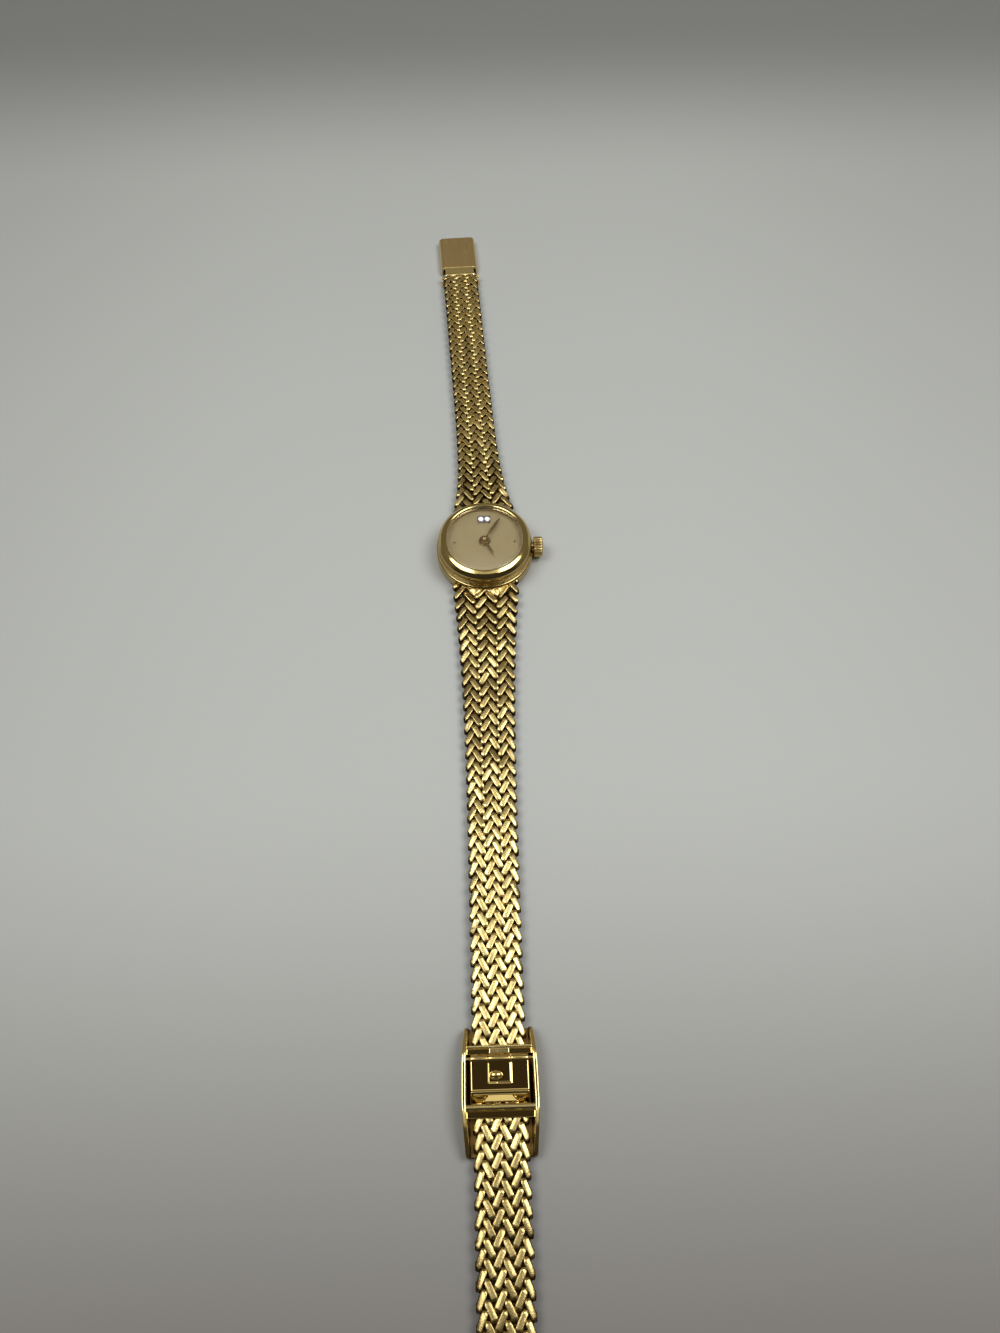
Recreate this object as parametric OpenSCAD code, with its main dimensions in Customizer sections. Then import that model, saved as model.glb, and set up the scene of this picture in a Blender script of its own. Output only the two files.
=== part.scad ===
/* [Case] */
// Half width of the case, nine o'clock to three o'clock
case_radius = 8.2; // [6:0.1:12]
// How much longer the case is from twelve to six than across
case_stretch = 0.8; // [0.2:0.1:3]
// Height of the case's lower edge above the table
case_bottom = 0.3; // [0.1:0.05:0.5]
// Top of the upright flank, where the shoulder starts
flank_top = 2.1; // [2:0.05:2.5]
// Height of the shoulder the bezel stands on
case_top = 2.9; // [2.6:0.05:3.3]
// Wall between the case's side and the bore that takes the movement
case_wall = 1.4; // [1.3:0.05:1.5]
// How far the neck inside the bezel stands in from the case's side
neck_inset = 1; // [0.9:0.05:1.1]
// How far the ledge over the dial's edge stands in from the case's side
ledge_inset = 1.85; // [1.75:0.05:2.1]
// Top of that ledge
ledge_top = 3.75; // [3.6:0.05:4]
// Play between pieces that slide into each other
fit = 0.05; // [0.02:0.01:0.1]
// Corner break on outside edges
edge_break = 0.25; // [0.1:0.05:0.5]

/* [Bezel and crystal] */
// How far the bezel's foot stands in from the case's side
bezel_inset = 0.45; // [0.3:0.05:0.6]
// Height of the bezel's bright crest
crest_height = 5; // [4.6:0.05:5.6]
// How far the crest stands in from the case's side
crest_inset = 1.25; // [1.1:0.05:1.3]
// How far the bezel's lip over the crystal stands in from the case's side
lip_inset = 1.78; // [1.7:0.02:1.9]
// Thickness of the crystal's clamped rim
crystal_rim = 0.5; // [0.3:0.05:0.6]
// Rise of the crystal's dome over its clamped rim
crystal_rise = 0.75; // [0.4:0.05:1]
// Thickness of the gasket under the crystal
crystal_gasket_thick = 0.15; // [0.1:0.05:0.3]

/* [Back] */
// How far the snap back's edge stands in from the case's side
back_inset = 0.9; // [0.8:0.05:1.1]
// Thickness of the snap back
back_thick = 0.55; // [0.5:0.05:0.6]
// Thickness of the snap wall
snap_wall = 0.45; // [0.3:0.05:0.55]
// Height of the snap wall over the plate
snap_height = 0.7; // [0.5:0.05:0.8]
// Thickness of the gasket in the back
back_gasket_thick = 0.2; // [0.1:0.05:0.3]

/* [Dial and hands] */
// Height of the dial's face
dial_face = 3.45; // [3.3:0.05:3.5]
// Thickness of the dial
dial_thick = 0.3; // [0.2:0.05:0.4]
// Radius of the dial's centre hole
dial_hole = 0.75; // [0.6:0.05:0.9]
// Distance of the two small dots from the ledge
dot_inset = 1.05; // [0.6:0.05:1.8]
// Radius of those dots
dot_radius = 0.13; // [0.1:0.01:0.3]
// Distance of the stone setting's middle from the ledge
setting_inset = 1.6; // [1.4:0.05:2]
// Width of the stone setting
setting_wide = 2.2; // [1.8:0.1:2.6]
// Depth of the stone setting toward the centre
setting_deep = 1.5; // [1.2:0.1:1.8]
// Height of the stone setting over the dial
setting_rise = 0.25; // [0.2:0.05:0.35]
// Girdle radius of the two stones
stone_radius = 0.44; // [0.3:0.02:0.5]
// Gap between the minute hand's tip and the ledge
minute_gap = 0.55; // [0.4:0.05:1.5]
// Length of the hour hand
hour_length = 3.5; // [2.5:0.1:3.6]
// Widest part of the hands
hand_wide = 0.56; // [0.4:0.02:0.8]
// Thickness of the hands
hand_thick = 0.12; // [0.08:0.01:0.2]
// Radius of the hands' round hubs
hub_radius = 0.95; // [0.8:0.05:1.1]
// Height of the hour hand's underside
hour_hand_level = 3.72; // [3.7:0.01:3.8]
// Height of the minute hand's underside
minute_hand_level = 4; // [3.95:0.01:4.1]
// Minutes shown
minute_shown = 5; // [0:1:59]
// Angle of the hour hand, clockwise from twelve
hour_angle = 152.5; // [0:0.5:359]

/* [Movement] */
// Wall of the ring between the movement and the case
ring_wall = 0.65; // [0.6:0.05:0.7]
// Radius that the movement's plan below is drawn for; the plan shrinks and grows with the case
plan_radius = 6.15; // [6.1:0.05:6.2]
// Underside of the main plate
plate_bottom = 1.9; // [1.8:0.05:2]
// Height of the crown's axis
stem_level = 2; // [1.9:0.05:2.2]
// Battery radius
battery_radius = 2.4; // [2.3:0.05:2.6]
// Battery thickness
battery_thick = 1.65; // [1.4:0.05:1.7]
// Distance of the battery from the centre
battery_reach = 3.62; // [3.6:0.01:3.65]
// Direction of the battery, counted from three o'clock
battery_angle = 210; // [190:1:230]
// Tooth module of the seconds-side train
train_module = 0.075; // [0.07:0.005:0.08]
// Tooth module of the rotor's gear
fine_module = 0.055; // [0.05:0.005:0.06]
// Tooth module of the motion work under the dial
motion_module = 0.1; // [0.09:0.01:0.11]
// Teeth on the centre wheel
centre_teeth = 30; // [30:1:30]
// Teeth on the third wheel
third_teeth = 32; // [32:1:32]
// Teeth on the intermediate wheel
inter_teeth = 45; // [45:1:45]
// Thickness of the train wheels
wheel_thick = 0.1; // [0.08:0.01:0.12]

/* [Crown] */
// Radius of the crown
crown_radius = 1.7; // [1.3:0.05:1.8]
// Length of the crown
crown_length = 1.5; // [1.2:0.05:2]
// Gap between the crown and the case
crown_gap = 0.15; // [0.1:0.05:0.3]
// Number of grooves round the crown
crown_grooves = 24; // [12:1:40]
// Radius of each groove
groove_radius = 0.13; // [0.08:0.01:0.2]
// Outer radius of the tube in the case wall
tube_radius = 0.9; // [0.8:0.05:1]
// Radius of the stem
stem_radius = 0.33; // [0.25:0.01:0.4]
// Side of the stem's square end
stem_square = 0.44; // [0.3:0.01:0.46]

/* [Woven band] */
// Distance between rows of links
pitch = 2.07; // [1.8:0.01:2.4]
// Distance between the lengthwise columns
column = 1.2; // [1.1:0.01:1.3]
// Number of lengthwise columns
columns = 6; // [4:2:8]
// Half width of one link
link_radius = 0.39; // [0.3:0.01:0.4]
// Sideways reach of a link's end from its middle
link_side = 0.42; // [0.35:0.01:0.45]
// Lengthwise reach of a link's end from its middle
link_along = 0.73; // [0.65:0.01:0.8]
// Thickness of the band
band_thick = 1.4; // [1.2:0.05:1.6]
// Height of the band's underside above the table
band_level = 0.55; // [0.5:0.05:0.7]
// Extra width of the band where it meets the case
flare = 4.5; // [0:0.1:5]
// How far the flare of the twelve o'clock side reaches
upper_reach = 6.3; // [4:0.1:20]
// How far the flare of the six o'clock side reaches
lower_reach = 17; // [4:0.1:20]
// Sideways set of the twelve o'clock side in degrees
lean = 3.2; // [0:0.1:5]
// Half of the lengthwise gap where two lengths of mesh part
parting = 0.15; // [0.12:0.01:0.2]
// Rows in one bending length
rows_each = 4; // [4:1:4]

/* [Clasp] */
// Width of the clasp cover
cover_wide = 7.5; // [7:0.1:8]
// Length of the clasp cover from its hinge to its free end
cover_length = 11.7; // [10:0.1:13]
// Sheet thickness of the clasp cover
cover_sheet = 0.4; // [0.3:0.05:0.5]
// Half width of the rolled hinge on the cover
roll_half = 2.6; // [2:0.1:3.4]
// Radius of the rolled hinges
roll_radius = 0.6; // [0.5:0.02:0.65]
// Radius of the hinge pins
pin_radius = 0.22; // [0.15:0.01:0.3]
// Length of the slider's cheeks
slider_length = 15.4; // [13:0.1:17]
// Distance of the slider's case side from the band's start
slider_start = 69.6; // [66:0.1:78]
// Half width inside the slider
slider_inner = 3.98; // [3.9:0.01:4.2]
// Thickness of the slider's cheeks
cheek_thick = 0.5; // [0.4:0.05:0.8]
// Height of the slider's cheeks at the middle
cheek_height = 3.25; // [3.1:0.05:3.6]
// Height of the lever's hinge above the table
lever_level = 2.65; // [2.6:0.05:2.8]
// Distance of the lever's hinge from the slider's case side
lever_start = 4.1; // [3.8:0.1:5]
// Length of the lever plate from its hinge
lever_length = 4.3; // [3.5:0.1:5]
// Radius of the hook bar
bar_radius = 0.4; // [0.3:0.02:0.45]
// Distance of the hook bar from the slider's case side
bar_start = 9.8; // [9.6:0.1:10.5]
// Distance of the cover's hook from the cover's free end
hook_inset = 3.2; // [2.5:0.1:4]

/* [Hidden] */
gold = [0.83, 0.68, 0.36];
gold_deep = [0.72, 0.57, 0.3];
champagne = [0.78, 0.7, 0.5];
steel = [0.75, 0.76, 0.78];
brass_tone = [0.8, 0.68, 0.4];
black = [0.1, 0.1, 0.1];
clear = [0.85, 0.92, 0.95];
// Sides of the smallest and of the ordinary circles
small_fn = 24;
round_fn = 96;
// A cut runs this far past the faces it opens
over = 0.5;

// Case radii that follow from the half width
bore_radius = case_radius - case_wall;
neck_radius = case_radius - neck_inset;
ledge_radius = case_radius - ledge_inset;
bezel_radius = case_radius - bezel_inset;
crest_radius = case_radius - crest_inset;
lip_radius = case_radius - lip_inset;
back_radius = case_radius - back_inset;
snap_inner = bore_radius - fit - snap_wall;
movement_radius = bore_radius - ring_wall;
dot_reach = ledge_radius - dot_inset;
setting_reach = ledge_radius - setting_inset;
minute_length = ledge_radius - minute_gap;
bezel_bore = neck_radius - 0.45;
// Case heights that follow from the ones above
gasket_top = ledge_top + crystal_gasket_thick;
rim_top = gasket_top + crystal_rim;
lip_top = rim_top + 0.2;
crystal_under = rim_top + fit;
dial_bottom = dial_face - dial_thick;
shoulder_radius = (case_radius + bezel_radius) / 2;
snap_top = back_thick + snap_height;
ring_radius = bore_radius - 0.02;
crystal_radius = bezel_bore - fit;
dome_radius = lip_radius - 0.04;
dome_steps = 6;

// Everything in the movement's plan is multiplied by this
plan = movement_radius / plan_radius;
train = plan * train_module;
fine = plan * fine_module;
motion = plan * motion_module;
cell_radius = plan * battery_radius;
// Wheel centres: each is set off its neighbour by the sum of the two pitch radii
third_pinion_teeth = 10;
inter_pinion_teeth = 8;
rotor_teeth = 6;
cannon_teeth = 10;
minute_teeth = 30;
minute_pinion_teeth = 8;
hour_teeth = 32;
function away(from, distance, angle) = from + distance * [cos(angle), sin(angle)];
third_at = away([0, 0], (centre_teeth + third_pinion_teeth) * train / 2, 100);
inter_at = away(third_at, (third_teeth + inter_pinion_teeth) * train / 2, 60);
rotor_at = away(inter_at, (inter_teeth + rotor_teeth) * fine / 2, -10);
minute_at = away([0, 0], (cannon_teeth + minute_teeth) * motion / 2, -60);
battery_at = away([0, 0], plan * battery_reach, battery_angle);

// Heights of the movement's layers
bridge_bottom = 0.85;
bridge_top = 1.1;
post_radius = plan * 0.45;
posts = plan * [[-2.3, 3.4], [2, -0.4], [0.9, 5.1]];
bridge_shape = plan * [[-2.9, 3.3], [-0.9, -0.7], [2.5, -0.9], [2.8, 3], [1.6, 5.6], [0.4, 5.7]];
screw_radius = plan * 0.2;
screw_head = plan * 0.38;
battery_bottom = 0.65;
battery_pocket = cell_radius + fit;
battery_roof = battery_bottom + battery_thick + 0.02;
motion_floor = 2.45;
hour_pocket = plan * 1.8;
minute_pocket = plan * 1.7;
arbor = 0.1;
pivot = 0.12;
centre_arbor = 0.25;
pipe_inner = 0.3;
pipe_outer = 0.5;
pipe_top = hour_hand_level + hand_thick + 0.06;
arbor_top = minute_hand_level + hand_thick + 0.1;
coil_ends = plan * [[3.1, 4.05], [4.8, 1.85]];
coil_level = 1.6;
coil_radius = plan * 0.28;
stator_bottom = 1.15;
stator_thick = 0.15;
stator_hole = plan * 0.62;
magnet_radius = plan * 0.5;
board_shape = plan * [[0.1, -5.4], [2.6, -5], [4.6, -3.2], [5.3, -1.2], [3, -1.2], [0.2, -2]];
board_thick = 0.2;
chip_at = plan * [1.9, -3.4];
chip_side = plan * 1.2;
can_at = plan * [3.9, -3.4];
can_length = plan * 1.9;
can_radius = plan * 0.32;
contact_at = plan * [0.8, -2.9];
contact_half = plan * 0.3;
contact_thick = 0.08;
// Tooth outline as part of the tooth spacing and of the module
tooth = [[-0.25, -1.1], [-0.12, 0.9], [0.12, 0.9], [0.25, -1.1]];

// Crown and keyless parts along the stem
crown_in = case_radius + crown_gap;
crown_out = crown_in + crown_length;
crown_wall = 0.4;
crown_recess = 1.2;
tube_end = crown_out - crown_wall - 0.25;
tube_bore = 0.5;
pinion_in = plan * 4.9;
pinion_out = plan * 5.6;
pinion_teeth = 14;
square_end = plan * 5.9;
slot_half = 0.85;

// Band: a link leans one way in even columns and the other way in odd ones
band_half = columns * column / 2 + 0.2;
band_top = band_level + band_thick;
start_row = 0.5;
root_rows = 2;
lower_layer = 0.7;
layer_lap = 0.1;
return_half = 0.34;
return_side = 0.82;
return_along = 0.58;
half_stroke = 0.3;
solder_seam = 0.7;
band_start = case_radius + 0.3;
slide_rows = 18;
lengths = 7;
// Course of the parting line past one column, in parts of the column and of the pitch
lean_right = [[-0.5, 0.397], [-0.16, 0.348], [0, 0.5], [0.28, 0.773], [0.5, 1.101]];
lean_left = [[-0.5, 0.601], [-0.16, 0.628], [0, 0.5], [0.32, 0.254], [0.5, -0.103]];
// Distance of a hinge line behind the last row before it
hinge_after = 0.74;
slide_first = root_rows + lengths * rows_each;
tail_first = slide_first + slide_rows;
last_row = tail_first + 2 * rows_each - 1;
upper_end = start_row + (slide_first - 1 + hinge_after) * pitch;
lower_end = start_row + (last_row + hinge_after) * pitch;

// Clasp, counted along the band like the mesh
cap_length = 1.1;
cap_half = band_half + 0.08;
cap_skirt = 0.15;
cap_lap = 1;
cover_axis = upper_end + 0.94;
cover_axis_level = 1.3;
ferrule_length = 0.84;
centre_roll = 1.25;
roll_play = 0.05;
cover_near = cover_axis + 0.9;
cover_far = cover_axis + cover_length;
cover_top = cover_axis_level + roll_radius;
hook_at = cover_far - hook_inset;
hook_half = 1.5;
slider_end = slider_start + slider_length;
floor_thick = 0.45;
cheek_line = [[0, 0], [0, 1.6], [1.4, 2.7], [3.6, cheek_height], [9.8, cheek_height],
  [12.6, 2.7], [slider_length, 1.5], [slider_length, 0]];
lip_start = 2.4;
lip_length = 1.05;
lip_bottom = band_top + 0.1;
lip_thick = 0.4;
lever_half = 3.7;
lever_axis = slider_start + lever_start;
lever_bottom = lever_level - 0.1;
lever_thick = 0.35;
lever_roll = 0.5;
lever_end = lever_axis + lever_length;
tab_base = 2.5;
tab_tip = 1.75;
tab_length = 0.85;
cam_at = 2.6;
cam_length = 0.7;
cam_half = 2.5;
tongue_half = 1.45;
slot_wide = 0.18;
bump_radius = 0.6;
// The bump stands off the middle of the tongue
bump_side = 0.5;
bar_level = 2.6;

// The case outline: two half turns and the straight middle between them
module long_round(profile) {
  for (side = [0, 180])
    rotate(side) {
      translate([0, case_stretch / 2]) rotate_extrude(angle = 180, $fn = round_fn) polygon(profile);
      translate([0, case_stretch / 2]) rotate([90, 0]) linear_extrude(case_stretch) polygon(profile);
    }
}

// A flat outline of the same kind
module long_disc(radius) {
  for (y = [-1, 1]) translate([0, y * case_stretch / 2]) circle(radius, $fn = round_fn);
  square([2 * radius, case_stretch], center = true);
}

// A slab between two heights
module slab(bottom, top) {
  translate([0, 0, bottom]) linear_extrude(top - bottom) children();
}

// A round bar along the watch's crown side
module along_stem(start, end, radius, sides = small_fn) {
  translate([start, 0, stem_level]) rotate([0, 90]) cylinder(end - start, r = radius, $fn = sides);
}

// A spur gear with straight-sided teeth
module gear(teeth, size, bottom, top) {
  radius = teeth * size / 2;
  slab(bottom, top) polygon([for (i = [0:teeth - 1]) for (t = tooth)
    let (turn = (i + t[0]) * 360 / teeth, out = radius + t[1] * size) out * [cos(turn), sin(turn)]]);
}

// An upright shaft
module shaft(bottom, top, radius) {
  translate([0, 0, bottom]) cylinder(top - bottom, r = radius, $fn = small_fn);
}

// A flat strip with round ends from one point to another
module strip(from, to, radius) {
  run = to - from;
  translate(from) rotate(atan2(run[1], run[0])) {
    translate([0, -radius]) square([norm(run), 2 * radius]);
    circle(radius, $fn = small_fn);
    translate([norm(run), 0]) circle(radius, $fn = small_fn);
  }
}

// A flat strip with square ends
module bar(from, to, radius) {
  run = to - from;
  translate(from) rotate(atan2(run[1], run[0])) translate([0, -radius]) square([norm(run), 2 * radius]);
}

module case_middle() {
  color(gold) difference() {
    union() {
      long_round([[back_radius + fit, case_bottom], [case_radius - edge_break, case_bottom],
        [case_radius, case_bottom + edge_break], [case_radius, flank_top],
        [shoulder_radius, flank_top + edge_break], [bezel_radius, case_top],
        [neck_radius, case_top], [neck_radius, ledge_top], [ledge_radius, ledge_top],
        [ledge_radius, dial_face], [bore_radius, dial_face], [bore_radius, back_thick],
        [back_radius + fit, back_thick]]);
      along_stem(bore_radius + over, tube_end, tube_radius);
    }
    along_stem(bore_radius - over, tube_end + over, tube_bore);
  }
}

module bezel() {
  color(gold) long_round([[neck_radius, case_top], [bezel_radius, case_top],
    [bezel_radius, case_top + edge_break], [neck_radius + 0.1, crest_height - 0.5],
    [crest_radius + 0.1, crest_height], [crest_radius - 0.1, crest_height],
    [lip_radius, lip_top], [lip_radius, rim_top], [bezel_bore, rim_top],
    [bezel_bore, ledge_top], [neck_radius, ledge_top]]);
}

module crystal() {
  dome_base = rim_top + 0.2;
  dome = [for (i = [1:dome_steps]) let (t = 90 * i / dome_steps)
    [dome_radius * cos(t), dome_base + (crystal_rise - 0.2) * sin(t)]];
  color(clear) long_round(concat([[0, crystal_under], [ledge_radius - 0.3, crystal_under],
    [ledge_radius - 0.3, gasket_top], [crystal_radius, gasket_top], [crystal_radius, rim_top],
    [dome_radius, rim_top], [dome_radius, dome_base]], dome));
}

module crystal_gasket() {
  color(black) long_round([[ledge_radius, ledge_top], [crystal_radius, ledge_top],
    [crystal_radius, gasket_top], [ledge_radius, gasket_top]]);
}

module case_back() {
  groove_in = bore_radius + 0.15;
  groove_out = back_radius - 0.1;
  color(gold_deep) long_round([[0, 0], [back_radius - edge_break, 0], [back_radius, edge_break],
    [back_radius, back_thick], [groove_out, back_thick],
    [groove_out, back_thick - back_gasket_thick], [groove_in, back_thick - back_gasket_thick],
    [groove_in, back_thick], [bore_radius - fit, back_thick], [bore_radius - fit, snap_top],
    [snap_inner, snap_top], [snap_inner, back_thick], [0, back_thick]]);
}

module back_gasket() {
  groove_in = bore_radius + 0.15;
  groove_out = back_radius - 0.1;
  color(black) long_round([[groove_in, back_thick - back_gasket_thick],
    [groove_out, back_thick - back_gasket_thick], [groove_out, back_thick],
    [groove_in, back_thick]]);
}

module movement_ring() {
  ledge = movement_radius - edge_break;
  color([0.85, 0.85, 0.82]) difference() {
    slab(snap_top, dial_bottom) long_disc(ring_radius);
    slab(plate_bottom, dial_bottom + over) circle(movement_radius + 0.02, $fn = round_fn);
    slab(snap_top - over, plate_bottom) circle(ledge, $fn = round_fn);
    translate(battery_at) shaft(0, battery_roof, battery_pocket);
    translate([ledge - over, -slot_half, snap_top - over])
      cube([2 * over + 1, 2 * slot_half, dial_bottom]);
  }
}

module main_plate() {
  color(brass_tone) difference() {
    union() {
      slab(plate_bottom, dial_bottom) circle(movement_radius, $fn = round_fn);
      for (p = posts) translate(p) shaft(bridge_top, plate_bottom, post_radius);
    }
    slab(motion_floor, dial_bottom + over) {
      circle(hour_pocket, $fn = round_fn);
      translate(minute_at) circle(minute_pocket, $fn = round_fn);
    }
    translate(battery_at) shaft(0, battery_roof, battery_pocket);
    translate([pinion_in - over, -slot_half, 0])
      cube([movement_radius, 2 * slot_half, stem_level + slot_half]);
    shaft(0, motion_floor + over, centre_arbor + fit);
    for (p = [third_at, inter_at, rotor_at])
      translate(p) shaft(plate_bottom - over, plate_bottom + 0.25, pivot);
    translate(minute_at) shaft(motion_floor - 0.25, motion_floor + over, arbor + fit);
    for (p = posts) translate(p) shaft(bridge_bottom, plate_bottom + 0.3, screw_radius);
  }
}

module train_bridge() {
  color(brass_tone) difference() {
    slab(bridge_bottom, bridge_top) polygon(bridge_shape);
    for (p = posts) translate(p) shaft(0, plate_bottom, screw_radius);
    for (p = [third_at, inter_at, rotor_at]) translate(p) shaft(0, plate_bottom, pivot);
    shaft(0, plate_bottom, arbor + fit);
  }
}

module bridge_screws() {
  color(steel) for (p = posts) translate(p) difference() {
    union() {
      shaft(bridge_bottom - 0.15, bridge_bottom, screw_head);
      shaft(bridge_bottom, plate_bottom + 0.3, screw_radius);
    }
    translate([-screw_head, -0.05, bridge_bottom - over]) cube([2 * screw_head, 0.1, over - 0.08]);
  }
}

module battery() {
  cap = cell_radius - 0.3;
  color(steel) translate(battery_at) {
    shaft(battery_bottom, battery_bottom + 0.2, cap);
    shaft(battery_bottom + 0.2, battery_bottom + battery_thick, cell_radius);
  }
}

module battery_contact() {
  low = battery_bottom - contact_thick;
  color(gold_deep) {
    slab(low, battery_bottom) bar(battery_at, contact_at, plan * 0.4);
    translate([contact_at[0] - contact_half, contact_at[1] - contact_half, low])
      cube([2 * contact_half, 2 * contact_half, plate_bottom - board_thick - low]);
  }
}

module circuit_board() {
  low = plate_bottom - board_thick;
  color([0.2, 0.45, 0.3]) {
    slab(low, plate_bottom) polygon(board_shape);
    translate([chip_at[0], chip_at[1], low - 0.35]) cube([chip_side, chip_side, 0.4]);
    translate([can_at[0], can_at[1], low - can_radius + 0.02]) rotate([0, 90, 60])
      cylinder(can_length, r = can_radius, $fn = small_fn);
  }
}

module coil() {
  run = coil_ends[1] - coil_ends[0];
  long = norm(run);
  turn = atan2(run[1], run[0]);
  spool = plan * 0.55;
  color([0.75, 0.4, 0.2]) {
    slab(stator_bottom + stator_thick, stator_bottom + stator_thick + 0.1)
      bar(coil_ends[0], coil_ends[1], plan * 0.25);
    translate([coil_ends[0][0], coil_ends[0][1], coil_level]) rotate(turn)
      translate([spool, 0]) rotate([0, 90]) cylinder(long - 2 * spool, r = coil_radius, $fn = small_fn);
  }
}

module stator() {
  color(steel) slab(stator_bottom, stator_bottom + stator_thick) difference() {
    union() {
      translate(rotor_at) circle(stator_hole + plan * 0.28, $fn = round_fn);
      for (p = coil_ends) bar(rotor_at, p, plan * 0.35);
    }
    translate(rotor_at) circle(stator_hole, $fn = round_fn);
  }
}

module rotor() {
  color(steel) translate(rotor_at) {
    shaft(bridge_bottom + 0.05, plate_bottom + 0.2, arbor);
    shaft(bridge_top + 0.1, stator_bottom + stator_thick + 0.05, magnet_radius);
    gear(rotor_teeth, fine, 1.58, 1.82);
  }
}

module intermediate_wheel() {
  color(brass_tone) translate(inter_at) {
    shaft(bridge_bottom + 0.05, plate_bottom + 0.2, arbor);
    gear(inter_teeth, fine, 1.66, 1.66 + wheel_thick);
    gear(inter_pinion_teeth, train, 1.36, 1.66);
  }
}

module third_wheel() {
  color(brass_tone) translate(third_at) {
    shaft(bridge_bottom + 0.05, plate_bottom + 0.2, arbor);
    gear(third_teeth, train, 1.4, 1.4 + wheel_thick);
    gear(third_pinion_teeth, train, 1.14, 1.4);
  }
}

module centre_wheel() {
  color(brass_tone) {
    gear(centre_teeth, train, 1.2, 1.2 + wheel_thick);
    shaft(bridge_bottom + 0.05, 1.2, arbor);
    shaft(1.2, 1.7, 0.18);
    shaft(1.7, arbor_top, centre_arbor);
    gear(cannon_teeth, motion, 2.5, 2.72);
  }
}

module minute_wheel() {
  color(brass_tone) translate(minute_at) {
    shaft(motion_floor - 0.2, 3, arbor);
    gear(minute_teeth, motion, 2.53, 2.66);
    gear(minute_pinion_teeth, motion, 2.66, 2.95);
  }
}

module hour_wheel() {
  color(brass_tone) difference() {
    union() {
      gear(hour_teeth, motion, 2.78, 2.92);
      shaft(2.78, pipe_top, pipe_outer);
    }
    shaft(2.78 - over, pipe_top + over, pipe_inner);
  }
}

module dial() {
  color(champagne) slab(dial_bottom, dial_face) difference() {
    long_disc(bore_radius - 0.15);
    circle(dial_hole, $fn = round_fn);
  }
}

module dial_markers() {
  color(black) for (side = [-1, 1])
    translate([side * dot_reach, 0]) shaft(dial_face, dial_face + 0.05, dot_radius);
}

module stone_setting() {
  color(steel) translate([-setting_wide / 2, setting_reach - setting_deep / 2, dial_face])
    difference() {
      cube([setting_wide, setting_deep, setting_rise]);
      for (side = [-1, 1]) translate([setting_wide / 2 + side * setting_wide / 4,
        setting_deep / 2, setting_rise - 0.2])
          cylinder(0.2, r1 = stone_radius / 2, r2 = stone_radius, $fn = small_fn);
    }
}

module stone() {
  girdle = dial_face + setting_rise;
  color(clear) for (side = [-1, 1]) translate([side * setting_wide / 4, setting_reach]) {
    translate([0, 0, girdle - 0.2])
      cylinder(0.2, r1 = stone_radius / 2, r2 = stone_radius, $fn = small_fn);
    translate([0, 0, girdle])
      cylinder(0.12, r1 = stone_radius, r2 = stone_radius * 0.6, $fn = small_fn);
  }
}

// A leaf-shaped hand pointing away from its round hub
module hand(length, hub, bore, level) {
  start = hub * 0.6;
  widest = start + (length - start) * 0.4;
  difference() {
    union() {
      shaft(level, level + hand_thick, hub);
      slab(level, level + hand_thick) polygon([[-hand_wide / 4, start], [-hand_wide / 2, widest],
        [-0.05, length], [0.05, length], [hand_wide / 2, widest], [hand_wide / 4, start]]);
    }
    shaft(level - over, level + over, bore);
  }
}

module hour_hand() {
  color(gold) rotate(-hour_angle) hand(hour_length, hub_radius, pipe_outer, hour_hand_level);
}

module minute_hand() {
  color(gold) rotate(-6 * minute_shown)
    hand(minute_length, hub_radius - 0.15, centre_arbor, minute_hand_level);
}

module crown() {
  rim = 0.15;
  color(gold) difference() {
    translate([crown_in, 0, stem_level]) rotate([0, 90]) rotate_extrude($fn = round_fn)
      polygon([[0, 0], [crown_radius - rim, 0], [crown_radius, rim],
        [crown_radius, crown_length - 2 * rim], [crown_radius - 2 * rim, crown_length],
        [0, crown_length]]);
    along_stem(crown_in - over, crown_out - crown_wall, crown_recess);
    along_stem(crown_out - crown_wall - over, crown_out - 0.15, stem_radius);
    for (i = [0:crown_grooves - 1]) translate([0, 0, stem_level])
      rotate([i * 360 / crown_grooves, 0]) translate([0, 0, crown_radius - stem_level + 0.03])
        along_stem(crown_in - over, crown_out + over, groove_radius);
  }
}

module stem() {
  color(steel) {
    along_stem(square_end, crown_out - 0.15, stem_radius);
    translate([pinion_in - 0.4, -stem_square / 2, stem_level - stem_square / 2])
      cube([square_end - pinion_in + 0.6, stem_square, stem_square]);
  }
}

module crown_gasket() {
  color(black) difference() {
    along_stem(crown_in + 0.15, crown_in + 0.45, crown_recess);
    along_stem(crown_in, crown_in + 0.6, tube_radius + 0.03);
  }
}

module sliding_pinion() {
  hole = stem_square + 0.06;
  color(steel) difference() {
    translate([pinion_in, 0, stem_level]) rotate([0, 90])
      gear(pinion_teeth, motion, 0, pinion_out - pinion_in);
    translate([pinion_in - over, -hole / 2, stem_level - hole / 2])
      cube([pinion_out - pinion_in + 2 * over, hole, hole]);
  }
}

// Scale of the band's width at a distance from the case
function spread(along, reach) =
  1 + flare / (2 * band_half) * exp(-max(along, 0) / reach);

// Where a row's links sit, counted along the band
function row_at(row) = start_row + row * pitch;

// The parting line behind one row, seen from above
function parting_line(row, side, odd, reach) = [for (c = [0:columns - 1])
  let (right = (c + odd) % 2 == 0, course = right ? lean_right : lean_left)
    for (i = [0:(c == columns - 1 ? 4 : 3)])
      let (y = row_at(row) + ((right ? 0 : 0.5) + course[i][1]) * pitch + side * parting)
        [(c - (columns - 1) / 2 + course[i][0]) * column * spread(y, reach), y]];

// The same line carried out to the band's edges
function edge_line(line, reach) = [for (i = [0:len(line) - 1])
  i == 0 ? [-band_half * spread(line[i][1], reach), line[i][1]]
  : i == len(line) - 1 ? [band_half * spread(line[i][1], reach), line[i][1]] : line[i]];

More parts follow.
